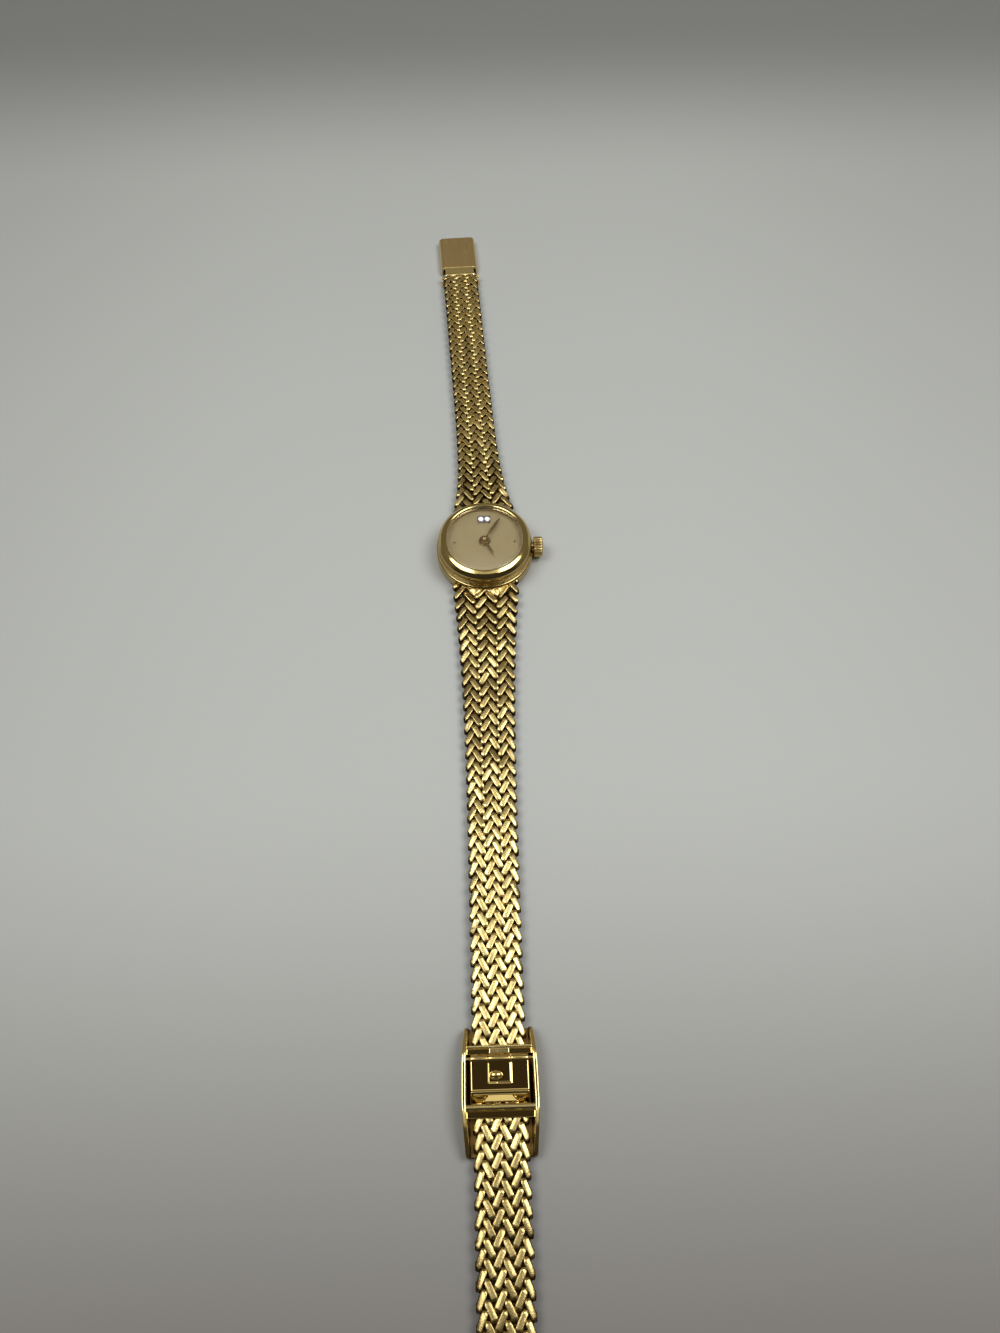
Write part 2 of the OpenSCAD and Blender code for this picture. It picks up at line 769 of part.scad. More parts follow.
function backwards(line) = [for (i = [len(line) - 1:-1:0]) line[i]];

function square_line(y, reach) = [[-band_half * spread(y, reach), y], [band_half * spread(y, reach), y]];

// Outline of one length of mesh from the parting behind one row to another line
function mesh_outline(first, far_line, odd, reach) =
  concat(edge_line(parting_line(first - 1, 1, odd, reach), reach), backwards(far_line));

// The bright slanted links on top
module links(first, last, odd, reach) {
  for (c = [0:columns - 1], row = [first:last]) {
    right = (c + odd) % 2 == 0;
    y = row_at(row) + (right ? 0 : 0.5) * pitch;
    wide = spread(y, reach);
    reach_out = [link_side * wide * (right ? 1 : -1), link_along];
    middle = [(c - (columns - 1) / 2) * column * wide, y];
    strip(middle - reach_out, middle + reach_out, link_radius * (0.7 + 0.3 * wide));
  }
}

// The return strokes underneath that carry each coil on to its next link, halved where the mesh parts
module returns(first, last, odd, reach) {
  for (c = [0:columns - 1], row = [first:last]) {
    right = (c + odd) % 2 == 0;
    y = row_at(row) + (right ? 0.5 : 1) * pitch;
    wide = spread(y, reach);
    reach_out = [return_side * wide * (right ? -1 : 1), return_along];
    middle = [(c - (columns - 1) / 2) * column * wide, y];
    low = row == first ? half_stroke : 1;
    high = row == last ? half_stroke : 1;
    bar(middle - low * reach_out, middle + high * reach_out, return_half * (0.4 + 0.6 * wide));
  }
}

// One length of mesh inside an outline, in two interlaced layers
module mesh_piece(first, last, outline, odd, reach) {
  slab(band_level, band_level + lower_layer) intersection() {
    returns(first - 1, last, odd, reach);
    polygon(outline);
  }
  slab(band_level + lower_layer - layer_lap, band_top) intersection() {
    links(first, last, odd, reach);
    polygon(outline);
  }
}

// A length that ends at the next parting line
module mesh_length(first, rows, odd, reach) {
  last = first + rows - 1;
  mesh_piece(first, last,
    mesh_outline(first, edge_line(parting_line(last, -1, odd, reach), reach), odd, reach), odd, reach);
}

// A length that ends square under a cap
module mesh_end(first, rows, end, odd, reach) {
  mesh_piece(first, first + rows, mesh_outline(first, square_line(end, reach), odd, reach), odd, reach);
}

module upper_side() {
  translate([0, band_start]) rotate(lean) children();
}

module lower_side() {
  translate([0, -band_start]) rotate(180) children();
}

module side_of(upper) {
  if (upper) upper_side() children();
  else lower_side() children();
}

// The two rows and the seam that solders them to the case, cut to the case's own round
module root(upper) {
  reach = upper ? upper_reach : lower_reach;
  odd = upper ? 0 : 1;
  inside = 3.6;
  outline = concat([[-band_half * spread(0, reach), -inside], [band_half * spread(0, reach), -inside]],
    backwards(edge_line(parting_line(root_rows - 1, -1, odd, reach), reach)));
  slab(band_level, band_level + lower_layer) difference() {
    union() {
      side_of(upper) intersection() {
        returns(-2, root_rows - 1, odd, reach);
        polygon(outline);
      }
      intersection() {
        long_disc(case_radius + solder_seam);
        side_of(upper) polygon(outline);
      }
    }
    long_disc(case_radius);
  }
  slab(band_level + lower_layer - layer_lap, band_top) difference() {
    side_of(upper) intersection() {
      links(-1, root_rows - 1, odd, reach);
      polygon(outline);
    }
    long_disc(case_radius);
  }
}

module mesh_up_0() {
  color(gold) root(true);
}

module mesh_low_0() {
  color(gold) root(false);
}

module mesh_up(n) {
  color(gold) upper_side() mesh_length(root_rows + (n - 1) * rows_each, rows_each, 0, upper_reach);
}

module mesh_low(n) {
  color(gold) lower_side() mesh_length(root_rows + (n - 1) * rows_each, rows_each, 1, lower_reach);
}

module mesh_up_7() {
  color(gold) upper_side()
    mesh_end(root_rows + 6 * rows_each, rows_each, upper_end, 0, upper_reach);
}

module mesh_slide() {
  color(gold) lower_side() mesh_length(slide_first, slide_rows, 1, lower_reach);
}

module mesh_tail_1() {
  color(gold) lower_side() mesh_length(tail_first, rows_each, 1, lower_reach);
}

module mesh_tail_2() {
  color(gold) lower_side()
    mesh_end(tail_first + rows_each, rows_each, lower_end, 1, lower_reach);
}

// A box in the band's own directions
module band_box(half, start, end, bottom, top) {
  translate([-half, start, bottom]) cube([2 * half, end - start, top - bottom]);
}

// A round bar across the band
module cross_bar(half, along, level, radius) {
  translate([-half, along, level]) rotate([0, 90]) cylinder(2 * half, r = radius, $fn = small_fn);
}

module tail_cap() {
  color(gold) lower_side() {
    band_box(cap_half, lower_end, lower_end + cap_length, band_level - cap_skirt, band_top + cap_skirt);
    band_box(cap_half, lower_end - cap_lap, lower_end, band_top, band_top + cap_skirt);
    band_box(cap_half, lower_end - cap_lap, lower_end, band_level - cap_skirt, band_level);
  }
}

module band_end_ferrule() {
  near = cover_axis - roll_radius - 0.06;
  color(gold) upper_side() difference() {
    union() {
      band_box(cap_half, upper_end, upper_end + ferrule_length, band_level - cap_skirt, band_top + cap_skirt);
      band_box(cap_half, upper_end - cap_lap, upper_end, band_top, band_top + cap_skirt);
      band_box(cap_half, upper_end - cap_lap, upper_end, band_level - cap_skirt, band_level);
      cross_bar(centre_roll, cover_axis, cover_axis_level, roll_radius);
    }
    for (side = [-1, 1])
      translate([side * (centre_roll + roll_half) / 2, near, 0])
        translate([-(roll_half - centre_roll) / 2 - (side < 0 ? roll_play : 0), 0, 0])
          cube([roll_half - centre_roll + roll_play, 1, band_top + over]);
    cross_bar(band_half, cover_axis, cover_axis_level, pin_radius);
  }
}

module cover_pin() {
  color(steel) upper_side() cross_bar(roll_half, cover_axis, cover_axis_level, pin_radius);
}

module clasp_cover() {
  half = cover_wide / 2;
  color(gold) upper_side() difference() {
    union() {
      band_box(half, cover_near, cover_far, cover_top - cover_sheet, cover_top);
      for (side = [-1, 1]) {
        translate([side * (half - cover_sheet / 2), 0, 0])
          band_box(cover_sheet / 2, cover_near, cover_far, 0, cover_top - cover_sheet);
        translate([side * (centre_roll + roll_play + roll_half) / 2, 0, 0]) {
          cross_bar((roll_half - centre_roll - roll_play) / 2, cover_axis, cover_axis_level, roll_radius);
          band_box((roll_half - centre_roll - roll_play) / 2, cover_axis + pin_radius + 0.05,
            cover_near + 0.1, cover_top - cover_sheet, cover_top - 0.04);
        }
      }
    }
    cross_bar(band_half, cover_axis, cover_axis_level, pin_radius + 0.02);
  }
}

module cover_hook() {
  top = cover_top - cover_sheet;
  color(gold_deep) upper_side() {
    band_box(hook_half, hook_at, hook_at + cover_sheet, 0.35, top);
    band_box(hook_half, hook_at - 0.9, hook_at, 0.35, 0.7);
  }
}

module slider_frame() {
  color(gold) lower_side() difference() {
    union() {
      band_box(slider_inner + cheek_thick, slider_start, slider_end, 0, floor_thick);
      for (side = [-1, 1])
        translate([side * (slider_inner + cheek_thick / 2) - cheek_thick / 2, slider_start, 0])
          rotate([90, 0, 90]) linear_extrude(cheek_thick) polygon(cheek_line);
      band_box(slider_inner + cheek_thick / 2, slider_start + lip_start,
        slider_start + lip_start + lip_length, lip_bottom, lip_bottom + lip_thick);
    }
    cross_bar(slider_inner + 1, lever_axis, lever_level, pin_radius);
    cross_bar(slider_inner + 1, slider_start + bar_start, bar_level, bar_radius);
  }
}

module lock_lever() {
  middle = lever_axis + lever_length * 0.55;
  color(gold) lower_side() difference() {
    union() {
      cross_bar(lever_half, lever_axis, lever_level, lever_roll);
      band_box(lever_half, lever_axis + pin_radius + 0.05, lever_end, lever_bottom, lever_bottom + lever_thick);
      slab(lever_bottom, lever_bottom + lever_thick) polygon([[-tab_base, lever_end - 0.1],
        [tab_base, lever_end - 0.1], [tab_tip, lever_end + tab_length],
        [-tab_tip, lever_end + tab_length]]);
      band_box(cam_half, lever_axis + cam_at, lever_axis + cam_at + cam_length,
        band_top + 0.04, lever_bottom + 0.1);
      translate([bump_side, middle, lever_bottom + lever_thick - 0.05])
        cylinder(0.3, r1 = bump_radius, r2 = bump_radius / 2, $fn = small_fn);
    }
    cross_bar(lever_half + 1, lever_axis, lever_level, pin_radius + 0.02);
    for (side = [-1, 1])
      translate([side * (tongue_half + slot_wide / 2), 0, 0])
        band_box(slot_wide / 2, middle - 0.9, middle + 1.1, lever_bottom + 0.12, cheek_height);
    band_box(tongue_half, middle + 1.1 - slot_wide, middle + 1.1, lever_bottom + 0.12, cheek_height);
  }
}

module lever_pin() {
  color(steel) lower_side()
    cross_bar(slider_inner + cheek_thick, lever_axis, lever_level, pin_radius);
}

module hook_bar() {
  color(gold) lower_side()
    cross_bar(slider_inner + cheek_thick, slider_start + bar_start, bar_level, bar_radius);
}

case_middle();
bezel();
crystal();
crystal_gasket();
case_back();
back_gasket();
movement_ring();
main_plate();
train_bridge();
bridge_screws();
battery();
battery_contact();
circuit_board();
coil();
stator();
rotor();
intermediate_wheel();
third_wheel();
centre_wheel();
minute_wheel();
hour_wheel();
dial();
dial_markers();
stone_setting();
stone();
hour_hand();
minute_hand();
crown();
stem();
crown_gasket();
sliding_pinion();
mesh_up_0();
mesh_up(1);  // mesh_up_1
mesh_up(2);  // mesh_up_2
mesh_up(3);  // mesh_up_3
mesh_up(4);  // mesh_up_4
mesh_up(5);  // mesh_up_5
mesh_up(6);  // mesh_up_6
mesh_up_7();
mesh_low_0();
mesh_low(1);  // mesh_low_1
mesh_low(2);  // mesh_low_2
mesh_low(3);  // mesh_low_3
mesh_low(4);  // mesh_low_4
mesh_low(5);  // mesh_low_5
mesh_low(6);  // mesh_low_6
mesh_low(7);  // mesh_low_7
mesh_slide();
mesh_tail_1();
mesh_tail_2();
tail_cap();
band_end_ferrule();
cover_pin();
clasp_cover();
cover_hook();
slider_frame();
lock_lever();
lever_pin();
hook_bar();
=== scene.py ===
import math

import bpy
import numpy as np
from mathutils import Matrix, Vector


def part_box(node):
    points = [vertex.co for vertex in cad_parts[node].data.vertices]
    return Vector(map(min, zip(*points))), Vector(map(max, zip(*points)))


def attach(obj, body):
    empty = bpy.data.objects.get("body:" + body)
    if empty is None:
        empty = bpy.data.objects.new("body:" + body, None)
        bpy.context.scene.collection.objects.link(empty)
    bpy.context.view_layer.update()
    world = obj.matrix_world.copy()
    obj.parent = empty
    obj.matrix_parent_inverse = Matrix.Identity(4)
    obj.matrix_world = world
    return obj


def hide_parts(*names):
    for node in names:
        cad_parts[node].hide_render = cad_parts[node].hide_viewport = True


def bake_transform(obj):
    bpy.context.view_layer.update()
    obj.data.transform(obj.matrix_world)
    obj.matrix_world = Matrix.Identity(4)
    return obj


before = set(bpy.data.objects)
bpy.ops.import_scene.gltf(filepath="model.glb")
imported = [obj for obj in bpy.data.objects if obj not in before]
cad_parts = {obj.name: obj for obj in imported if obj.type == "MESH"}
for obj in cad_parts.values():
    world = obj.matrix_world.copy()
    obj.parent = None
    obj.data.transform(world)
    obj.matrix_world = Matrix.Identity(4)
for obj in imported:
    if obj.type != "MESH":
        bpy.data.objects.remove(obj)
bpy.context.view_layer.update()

# Sizes are in millimetres and become metres where a mesh is made
MM = 0.001
chance = np.random.default_rng(12)


def box_of(node):
    """Lowest and highest corner of a node in millimetres."""
    low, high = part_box(node)
    return np.array(low) / MM, np.array(high) / MM


def middle_of(node):
    """The middle of a node's box in millimetres."""
    low, high = box_of(node)
    return (low + high) / 2


# The woven band, laid out as its solids are
PITCH = 2.07
COLUMN = 1.165
COLUMNS = 6
BAND_HALF = 3.8
FLARE = 4.5
FIRST_ROW = 0.5
ROOT_ROWS = 2
ROWS_EACH = 4
SLIDE_ROWS = 18
LENGTHS = 7
HINGE_AFTER = 0.74
BEND_HALF = 0.5
BAND_LOW = box_of("mesh_slide")[0][2]
BAND_HIGH = box_of("mesh_slide")[1][2]

# How far a link and a return stroke run from their middles, across and along the band, and their half widths
LINK_RUN, LINK_HALF = (0.385, 0.75), 0.4
STROKE_RUN, STROKE_HALF = (-0.656, 0.464), 0.459
# Half the height of both
GRAIN_HALF = 0.36

# The case's outline is two half turns with a short straight between them
CASE_RADIUS = box_of("case_back")[1][0] + 0.9
STRAIGHT = 0.4
BAND_START = CASE_RADIUS + 0.3
UPPER_LEAN = math.radians(3.2)

# Heights in the case
FLANK_TOP = 2.1
CASE_TOP = box_of("bezel")[0][2]
LEDGE_TOP = box_of("case_middle")[1][2]
DIAL_FACE = box_of("dial")[1][2]
FLANGE_TOP = 4.4
CREST = box_of("bezel")[1][2]

# The two stones stand this far to each side of the setting's middle
STONE_AT = 0.55

# The clasp, counted along the band from the case
SLIDER_LOW, SLIDER_HIGH = box_of("slider_frame")
SLIDER_START = -BAND_START - SLIDER_HIGH[1]
SLIDER_END = -BAND_START - SLIDER_LOW[1]
SLIDER_HALF = SLIDER_HIGH[0]
CHEEK = 0.5
PIN_HALF = SLIDER_HALF + 0.22
LEVER_AXIS = -BAND_START - middle_of("lever_pin")[1]
LEVER_LEVEL = middle_of("lever_pin")[2]
BAR_AT = -BAND_START - middle_of("hook_bar")[1]
BAR_LEVEL = middle_of("hook_bar")[2]
COVER_AXIS = 63.0
COVER_LEVEL = middle_of("cover_pin")[2]
COVER_END = COVER_AXIS + 11.7
ROLL = 0.64
CAP_LOW, CAP_HIGH = box_of("tail_cap")
TAIL_END = -BAND_START - CAP_LOW[1]
UPPER_END = FIRST_ROW + (ROOT_ROWS + LENGTHS * ROWS_EACH - 1 + HINGE_AFTER) * PITCH
LOWER_END = TAIL_END - 1.1

# The lever's sheet: half its width, its length from the axis to the tab, and the tab's length and half widths
LEVER_HALF = 3.7
LEVER_LONG = 4.3
TAB_LONG = 0.85
TAB_NEAR, TAB_FAR = 1.5, 2.3
# Places across the sheet and away from the axis: the cut round its tongue, and its bump
CUT = [(-1.45, 0.6), (-1.45, 2.9), (0.3, 2.9)]
FAINT_CUT = [(0.3, 2.9), (1.45, 2.9), (1.45, 0.6)]
BUMP_AT, BUMP_HALF = (0.5, 2.0), (0.75, 0.42)
SKIRT_REACH = (0.7, -0.27)


# Shapes: a shape is its points and a list of face arrays

def outward(points, faces):
    """The shape with its faces turned so that the volume they enclose is positive."""
    volume = 0.0
    for side in faces:
        corner = points[side]
        for k in range(1, side.shape[1] - 1):
            volume += np.einsum("ij,ij->", corner[:, 0], np.cross(corner[:, k], corner[:, k + 1]))
    return points, faces if volume > 0 else [side[:, ::-1] for side in faces]


def skin(rings, ends="fan"):
    """A closed skin over rings shaped (ring, corner, 3), or (copy, ring, corner, 3).

    Quads join each ring to the next. The ends are fans on the rings' middles, or ladders from the first half
    of a ring to the second, or with "loop" the last ring joins the first.
    """
    rings = np.asarray(rings, float)
    rings = rings[None] if rings.ndim == 3 else rings
    copies, count, around, _ = rings.shape
    index = np.arange(copies * count * around).reshape(copies, count, around)
    near, far = (index, np.roll(index, -1, 1)) if ends == "loop" else (index[:, :-1], index[:, 1:])
    sides = np.stack([near, np.roll(near, -1, 2), np.roll(far, -1, 2), far], -1).reshape(-1, 4)
    points = rings.reshape(-1, 3)
    if ends == "loop":
        return outward(points, [sides])
    first, last = index[:, 0], index[:, -1]
    if ends == "ladder":
        step = np.arange(around // 2 - 1)
        rungs = np.stack([step, step + 1, around - 2 - step, around - 1 - step], 1)
        caps = [first[:, rungs[:, ::-1]].reshape(-1, 4), last[:, rungs].reshape(-1, 4)]
        return outward(points, [sides, *caps])
    middles = rings[:, [0, -1]].mean(2).reshape(-1, 3)
    hub = len(points) + np.arange(copies * 2).reshape(copies, 2)
    fans = [
        np.stack([np.repeat(hub[:, :1], around, 1), np.roll(first, -1, 1), first], -1),
        np.stack([np.repeat(hub[:, 1:], around, 1), last, np.roll(last, -1, 1)], -1),
    ]
    return outward(np.concatenate([points, middles]), [sides, np.concatenate(fans).reshape(-1, 3)])


def join(*shapes):
    """Several shapes as one."""
    points, faces, start = [], [], 0
    for corners, sides in shapes:
        points.append(corners)
        faces += [side + start for side in sides]
        start += len(corners)
    return np.concatenate(points), faces


def moved(shape, change):
    """The shape with its points changed by a function."""
    return outward(change(shape[0]), shape[1])


def unit(vectors):
    """Vectors at length one."""
    return vectors / np.maximum(np.linalg.norm(vectors, axis=-1, keepdims=True), 1e-12)


def at(x, y, z):
    """Points from their coordinates, as arrays that broadcast together."""
    return np.stack(np.broadcast_arrays(x, y, z), -1)


def turned(points, angle):
    """Points turned about the vertical axis."""
    x, y = points[..., 0], points[..., 1]
    cosine, sine = math.cos(angle), math.sin(angle)
    return at(x * cosine - y * sine, x * sine + y * cosine, points[..., 2])


def fillet(corners, radii, steps=5):
    """An outline with every corner turned into an arc.

    An arc's centre is on the bisector, the radius over the sine of half the corner's angle away, and its
    points swing evenly from one side's foot to the other's.
    """
    corners = np.asarray(corners, float)
    radii = np.broadcast_to(np.asarray(radii, float), len(corners))[:, None]
    back = unit(np.roll(corners, 1, 0) - corners)
    ahead = unit(np.roll(corners, -1, 0) - corners)
    half = np.arccos(np.clip((back * ahead).sum(1), -1, 1))[:, None] / 2
    centre = corners + unit(back + ahead) * radii / np.sin(half)
    start = corners + back * radii / np.tan(half) - centre
    end = corners + ahead * radii / np.tan(half) - centre
    turn = np.pi - 2 * half
    share = np.linspace(0, 1, steps)
    early = np.sin((1 - share) * turn) / np.sin(turn)
    late = np.sin(share * turn) / np.sin(turn)
    arcs = start[:, None] * early[..., None] + end[:, None] * late[..., None]
    return (centre[:, None] + arcs).reshape(-1, 2)


def carried(profile, straight=0.0, count=144):
    """Rings of a profile of (radius, height) carried round two half turns, with a straight between them."""
    profile = np.asarray(profile, float)
    stops = count // 2 + 1
    turn = np.concatenate([np.linspace(0, np.pi, stops), np.linspace(np.pi, 2 * np.pi, stops)])
    shift = np.repeat([straight, -straight], stops)
    if straight == 0:
        keep = np.r_[0:stops - 1, stops:2 * stops - 1]
        turn, shift = turn[keep], shift[keep]
    radius, height = profile[:, :1], profile[:, 1:]
    return at(radius * np.cos(turn), radius * np.sin(turn) + shift, height)


def ring(profile, radii, steps=5):
    """A ring whose closed profile has its corners rounded, carried round the case's outline."""
    return skin(carried(fillet(profile, radii, steps), STRAIGHT, 176), "loop")


def quarter(edge, steps=4):
    """How far a rounded rim is drawn in and how far it has risen, at steps of its turn."""
    turn = np.linspace(0, np.pi / 2, steps)
    return edge * (1 - np.sin(turn)), edge * (1 - np.cos(turn))


def plate(outline, low, high, edge, steps=4):
    """A plate between two heights with rounded rims.

    Each ring is the outline drawn in by the edge's radius times one less the sine of the turn. One more ring
    further in keeps the flat face flat.
    """
    outline = np.asarray(outline, float)
    inward = unit(np.roll(outline, -1, 0) - np.roll(outline, 1, 0))[:, ::-1] * [-1, 1]
    drawn, rise = quarter(edge, steps)
    drawn = np.concatenate([[1.6 * edge], drawn])
    rise = np.concatenate([[0], rise])
    inset = np.concatenate([drawn, drawn[::-1]])[:, None, None]
    level = np.concatenate([low + rise, high - rise[::-1]])[:, None]
    rings = outline + inward * inset
    return skin(at(rings[..., 0], rings[..., 1], level))


def oblong(low, high, radius):
    """A rectangle's outline with round corners."""
    (x0, y0), (x1, y1) = low, high
    return fillet([[x0, y0], [x1, y0], [x1, y1], [x0, y1]], radius)


def sheet(top, bottom):
    """A sheet between two grids of points: each ring runs over the top and back along the bottom."""
    return skin(np.concatenate([top, bottom[:, ::-1]], 1), "ladder")


def spaced(low, high, edge, count):
    """Places from low to high, close together along both edges, where a rim turns over."""
    rise = quarter(edge, 5)[1]
    return np.concatenate([low + rise, np.linspace(low + edge, high - edge, count)[1:-1], high - rise[::-1]])


def round_off(distance, edge):
    """How far a rounded rim lies below the flat at a distance from the edge."""
    return edge - np.sqrt(np.maximum(edge**2 - (edge - np.clip(distance, 0, edge)) ** 2, 0))


def on_upper(points):
    """Band coordinates to the watch's, on the twelve o'clock side: turned by the lean, then moved up."""
    return turned(points, UPPER_LEAN) + [0, BAND_START, 0]


def on_lower(points):
    """Band coordinates to the watch's, on the six o'clock side: half a turn, then moved down."""
    return at(-points[..., 0], -BAND_START - points[..., 1], points[..., 2])


# Shader helpers and the effects that several finishes share

def fill(tree, socket, value):
    """An input linked to another node's output, or set to a value."""
    if isinstance(value, bpy.types.NodeSocket):
        tree.links.new(value, socket)
    else:
        socket.default_value = value


def add(tree, kind, inputs=None, **settings):
    """A shader node with its settings, and its inputs set or linked by name or place."""
    made = tree.nodes.new("ShaderNode" + kind)
    for name, value in settings.items():
        setattr(made, name, value)
    for name, value in (inputs or {}).items():
        fill(tree, made.inputs[name], value)
    return made


def calculate(tree, operation, a, b=0.0):
    """A Math node's result."""
    return add(tree, "Math", {0: a, 1: b}, operation=operation).outputs[0]


def ramp(tree, value, low, high, start=0.0, end=1.0):
    """A value from start to end as the input goes from low to high."""
    inputs = {"Value": value, "From Min": low, "From Max": high, "To Min": start, "To Max": end}
    return add(tree, "MapRange", inputs, interpolation_type="SMOOTHSTEP").outputs["Result"]


def mixed(tree, factor, first, second):
    """Two colours mixed."""
    return add(tree, "Mix", {"Factor": factor, 6: first, 7: second}, data_type="RGBA").outputs[2]


def noise_at(tree, place, scale, detail=2.0, **more):
    """Noise at a place."""
    return add(tree, "TexNoise", {"Vector": place, "Scale": scale, "Detail": detail, **more}).outputs["Fac"]


def object_place(tree):
    """Object coordinates."""
    return add(tree, "TexCoord").outputs["Object"]


def rgb(red, green, blue):
    """A colour with full alpha."""
    return (red, green, blue, 1.0)


def new_group(name, inputs, outputs):
    """An empty shader group with named inputs and outputs, and its two ends."""
    tree = bpy.data.node_groups.new(name, "ShaderNodeTree")
    for socket, kind, value in inputs:
        made = tree.interface.new_socket(socket, in_out="INPUT", socket_type="NodeSocket" + kind)
        made.default_value = value
    for socket, kind in outputs:
        tree.interface.new_socket(socket, in_out="OUTPUT", socket_type="NodeSocket" + kind)
    return tree, tree.nodes.new("NodeGroupInput").outputs, tree.nodes.new("NodeGroupOutput").inputs


def make_fine_marks():
    """Hair-fine scratches in two crossing directions, and the soft smudges of handling."""
    inputs = [("Scale", "Float", 2500.0), ("Amount", "Float", 1.0)]
    tree, given, result = new_group("Fine marks", inputs, [("Marks", "Float"), ("Height", "Float")])
    place = object_place(tree)
    lines = []
    for turn, long in ((0.5, 0.04), (-0.9, 0.05)):
        laid = add(tree, "Mapping", {"Vector": place, "Rotation": (0.2, 0.1, turn), "Scale": (1, long, 1)})
        lines.append(ramp(tree, noise_at(tree, laid.outputs[0], given["Scale"]), 0.6, 0.72))
    scratches = calculate(tree, "MAXIMUM", *lines)
    smudge = ramp(tree, noise_at(tree, place, 260.0, 3.0, Roughness=0.6), 0.4, 0.7)
    halves = [calculate(tree, "MULTIPLY", part, 0.5) for part in (scratches, smudge)]
    both = calculate(tree, "ADD", *halves)
    tree.links.new(calculate(tree, "MULTIPLY", both, given["Amount"]), result["Marks"])
    tree.links.new(calculate(tree, "MULTIPLY", scratches, given["Amount"]), result["Height"])
    return tree


def make_brushing():
    """Parallel satin lines: noise stretched along one direction by the Stretch scale."""
    inputs = [("Stretch", "Vector", (1.0, 0.03, 1.0)), ("Scale", "Float", 9000.0)]
    tree, given, result = new_group("Brushing", inputs, [("Lines", "Float")])
    laid = add(tree, "Mapping", {"Vector": object_place(tree), "Scale": given["Stretch"]})
    noise = noise_at(tree, laid.outputs[0], given["Scale"], 3.0)
    tree.links.new(ramp(tree, noise, 0.3, 0.7), result["Lines"])
    return tree


def make_gap_shade_and_tarnish():
    """Painted shade with some tarnish, low down between links and parts: a mask from height, broken up by
    noise.
    """
    inputs = [("Low", "Float", 0.0), ("High", "Float", 0.001), ("Clean", "Color", rgb(1, 1, 1)),
              ("Dark", "Color", rgb(0, 0, 0))]
    tree, given, result = new_group("Gap shade and tarnish", inputs, [("Color", "Color"), ("Mask", "Float")])
    place = object_place(tree)
    height = add(tree, "SeparateXYZ", {"Vector": place}).outputs["Z"]
    centred = calculate(tree, "SUBTRACT", noise_at(tree, place, 1400.0), 0.5)
    level = calculate(tree, "ADD", height, calculate(tree, "MULTIPLY", centred, 0.0004))
    mask = ramp(tree, level, given["High"], given["Low"])
    tree.links.new(mixed(tree, mask, given["Clean"], given["Dark"]), result["Color"])
    tree.links.new(mask, result["Mask"])
    return tree


def make_dimples():
    """The soft dimples of worn, burnished links, a fifth of a millimetre apart."""
    tree, given, result = new_group("Dimples", [("Scale", "Float", 4500.0)], [("Dimples", "Float")])
    noise = noise_at(tree, object_place(tree), given["Scale"], Roughness=0.6)
    tree.links.new(ramp(tree, noise, 0.3, 0.7), result["Dimples"])
    return tree


def make_patina_and_shade():
    """Where the gold has worn to a browner tone, and where the same tone stands in as painted shade.

    Cloudy patches of patina a few links wide get stronger near the case. One stretch below the case has an
    even dull tone. The band's tail has the same even tone as painted shadow.
    """
    inputs = [("Scale", "Float", 550.0), ("Amount", "Float", 0.35)]
    tree, given, result = new_group("Patina and shade", inputs, [("Mask", "Float")])
    place = object_place(tree)
    along = add(tree, "SeparateXYZ", {"Vector": place}).outputs["Y"]
    near = ramp(tree, calculate(tree, "ABSOLUTE", along), 0.028, 0.01, 0.0, 0.4)
    share = calculate(tree, "ADD", given["Amount"], near)
    cloud = ramp(tree, noise_at(tree, place, given["Scale"], 1.0), 0.42, 0.6)
    clouded = calculate(tree, "MULTIPLY", cloud, share)
    # The band's tail darkens evenly as painted shadow
    tail = ramp(tree, along, -0.08, -0.1)
    from_waist = calculate(tree, "ABSOLUTE", calculate(tree, "ADD", along, 0.032))
    waist = ramp(tree, from_waist, 0.014, 0.006, 0.0, 0.6)
    even = calculate(tree, "MAXIMUM", waist, tail)
    tree.links.new(calculate(tree, "MAXIMUM", clouded, even), result["Mask"])
    return tree


DIMPLES = make_dimples()
PATINA_AND_SHADE = make_patina_and_shade()
FINE_MARKS = make_fine_marks()
BRUSHING = make_brushing()
GAP_SHADE_AND_TARNISH = make_gap_shade_and_tarnish()


# Finishes

GOLD = rgb(0.88, 0.71, 0.31)
GOLD_DULL = rgb(0.66, 0.5, 0.21)
GOLD_BROWN = rgb(0.42, 0.32, 0.13)
# The darkest painted shade, with some tarnish, low between the links
SHADE_AND_TARNISH = rgb(0.055, 0.03, 0.008)
# The depth of a metal's marks in metres
METAL_MARKS = 0.000002


def new_material(name, **constants):
    """A material with a Principled shader whose named sockets get these constants."""
    material = bpy.data.materials.new(name)
    material.use_nodes = True
    shader = material.node_tree.nodes["Principled BSDF"]
    for socket, value in constants.items():
        shader.inputs[socket.replace("_", " ")].default_value = value
    return material, material.node_tree, shader


def placed(tree, group, **inputs):
    """A shared effect placed in a material with its own values."""
    return add(tree, "Group", inputs, node_tree=group).outputs


def drive(tree, shader, colour, roughness, height=None, depth=METAL_MARKS):
    """Links a shader's colour and roughness, and its normal to a height times a depth in metres."""
    fill(tree, shader.inputs["Base Color"], colour)
    fill(tree, shader.inputs["Roughness"], roughness)
    if height is not None:
        bump = add(tree, "Bump", {"Height": height, "Distance": depth, "Strength": 1.0})
        fill(tree, shader.inputs["Normal"], bump.outputs[0])


def worn(tree, marks, tone, dull, gloss):
    """A colour and a roughness that go from clean to worn with the marks."""
    return mixed(tree, marks, tone, dull), ramp(tree, marks, 0.0, 1.0, *gloss)


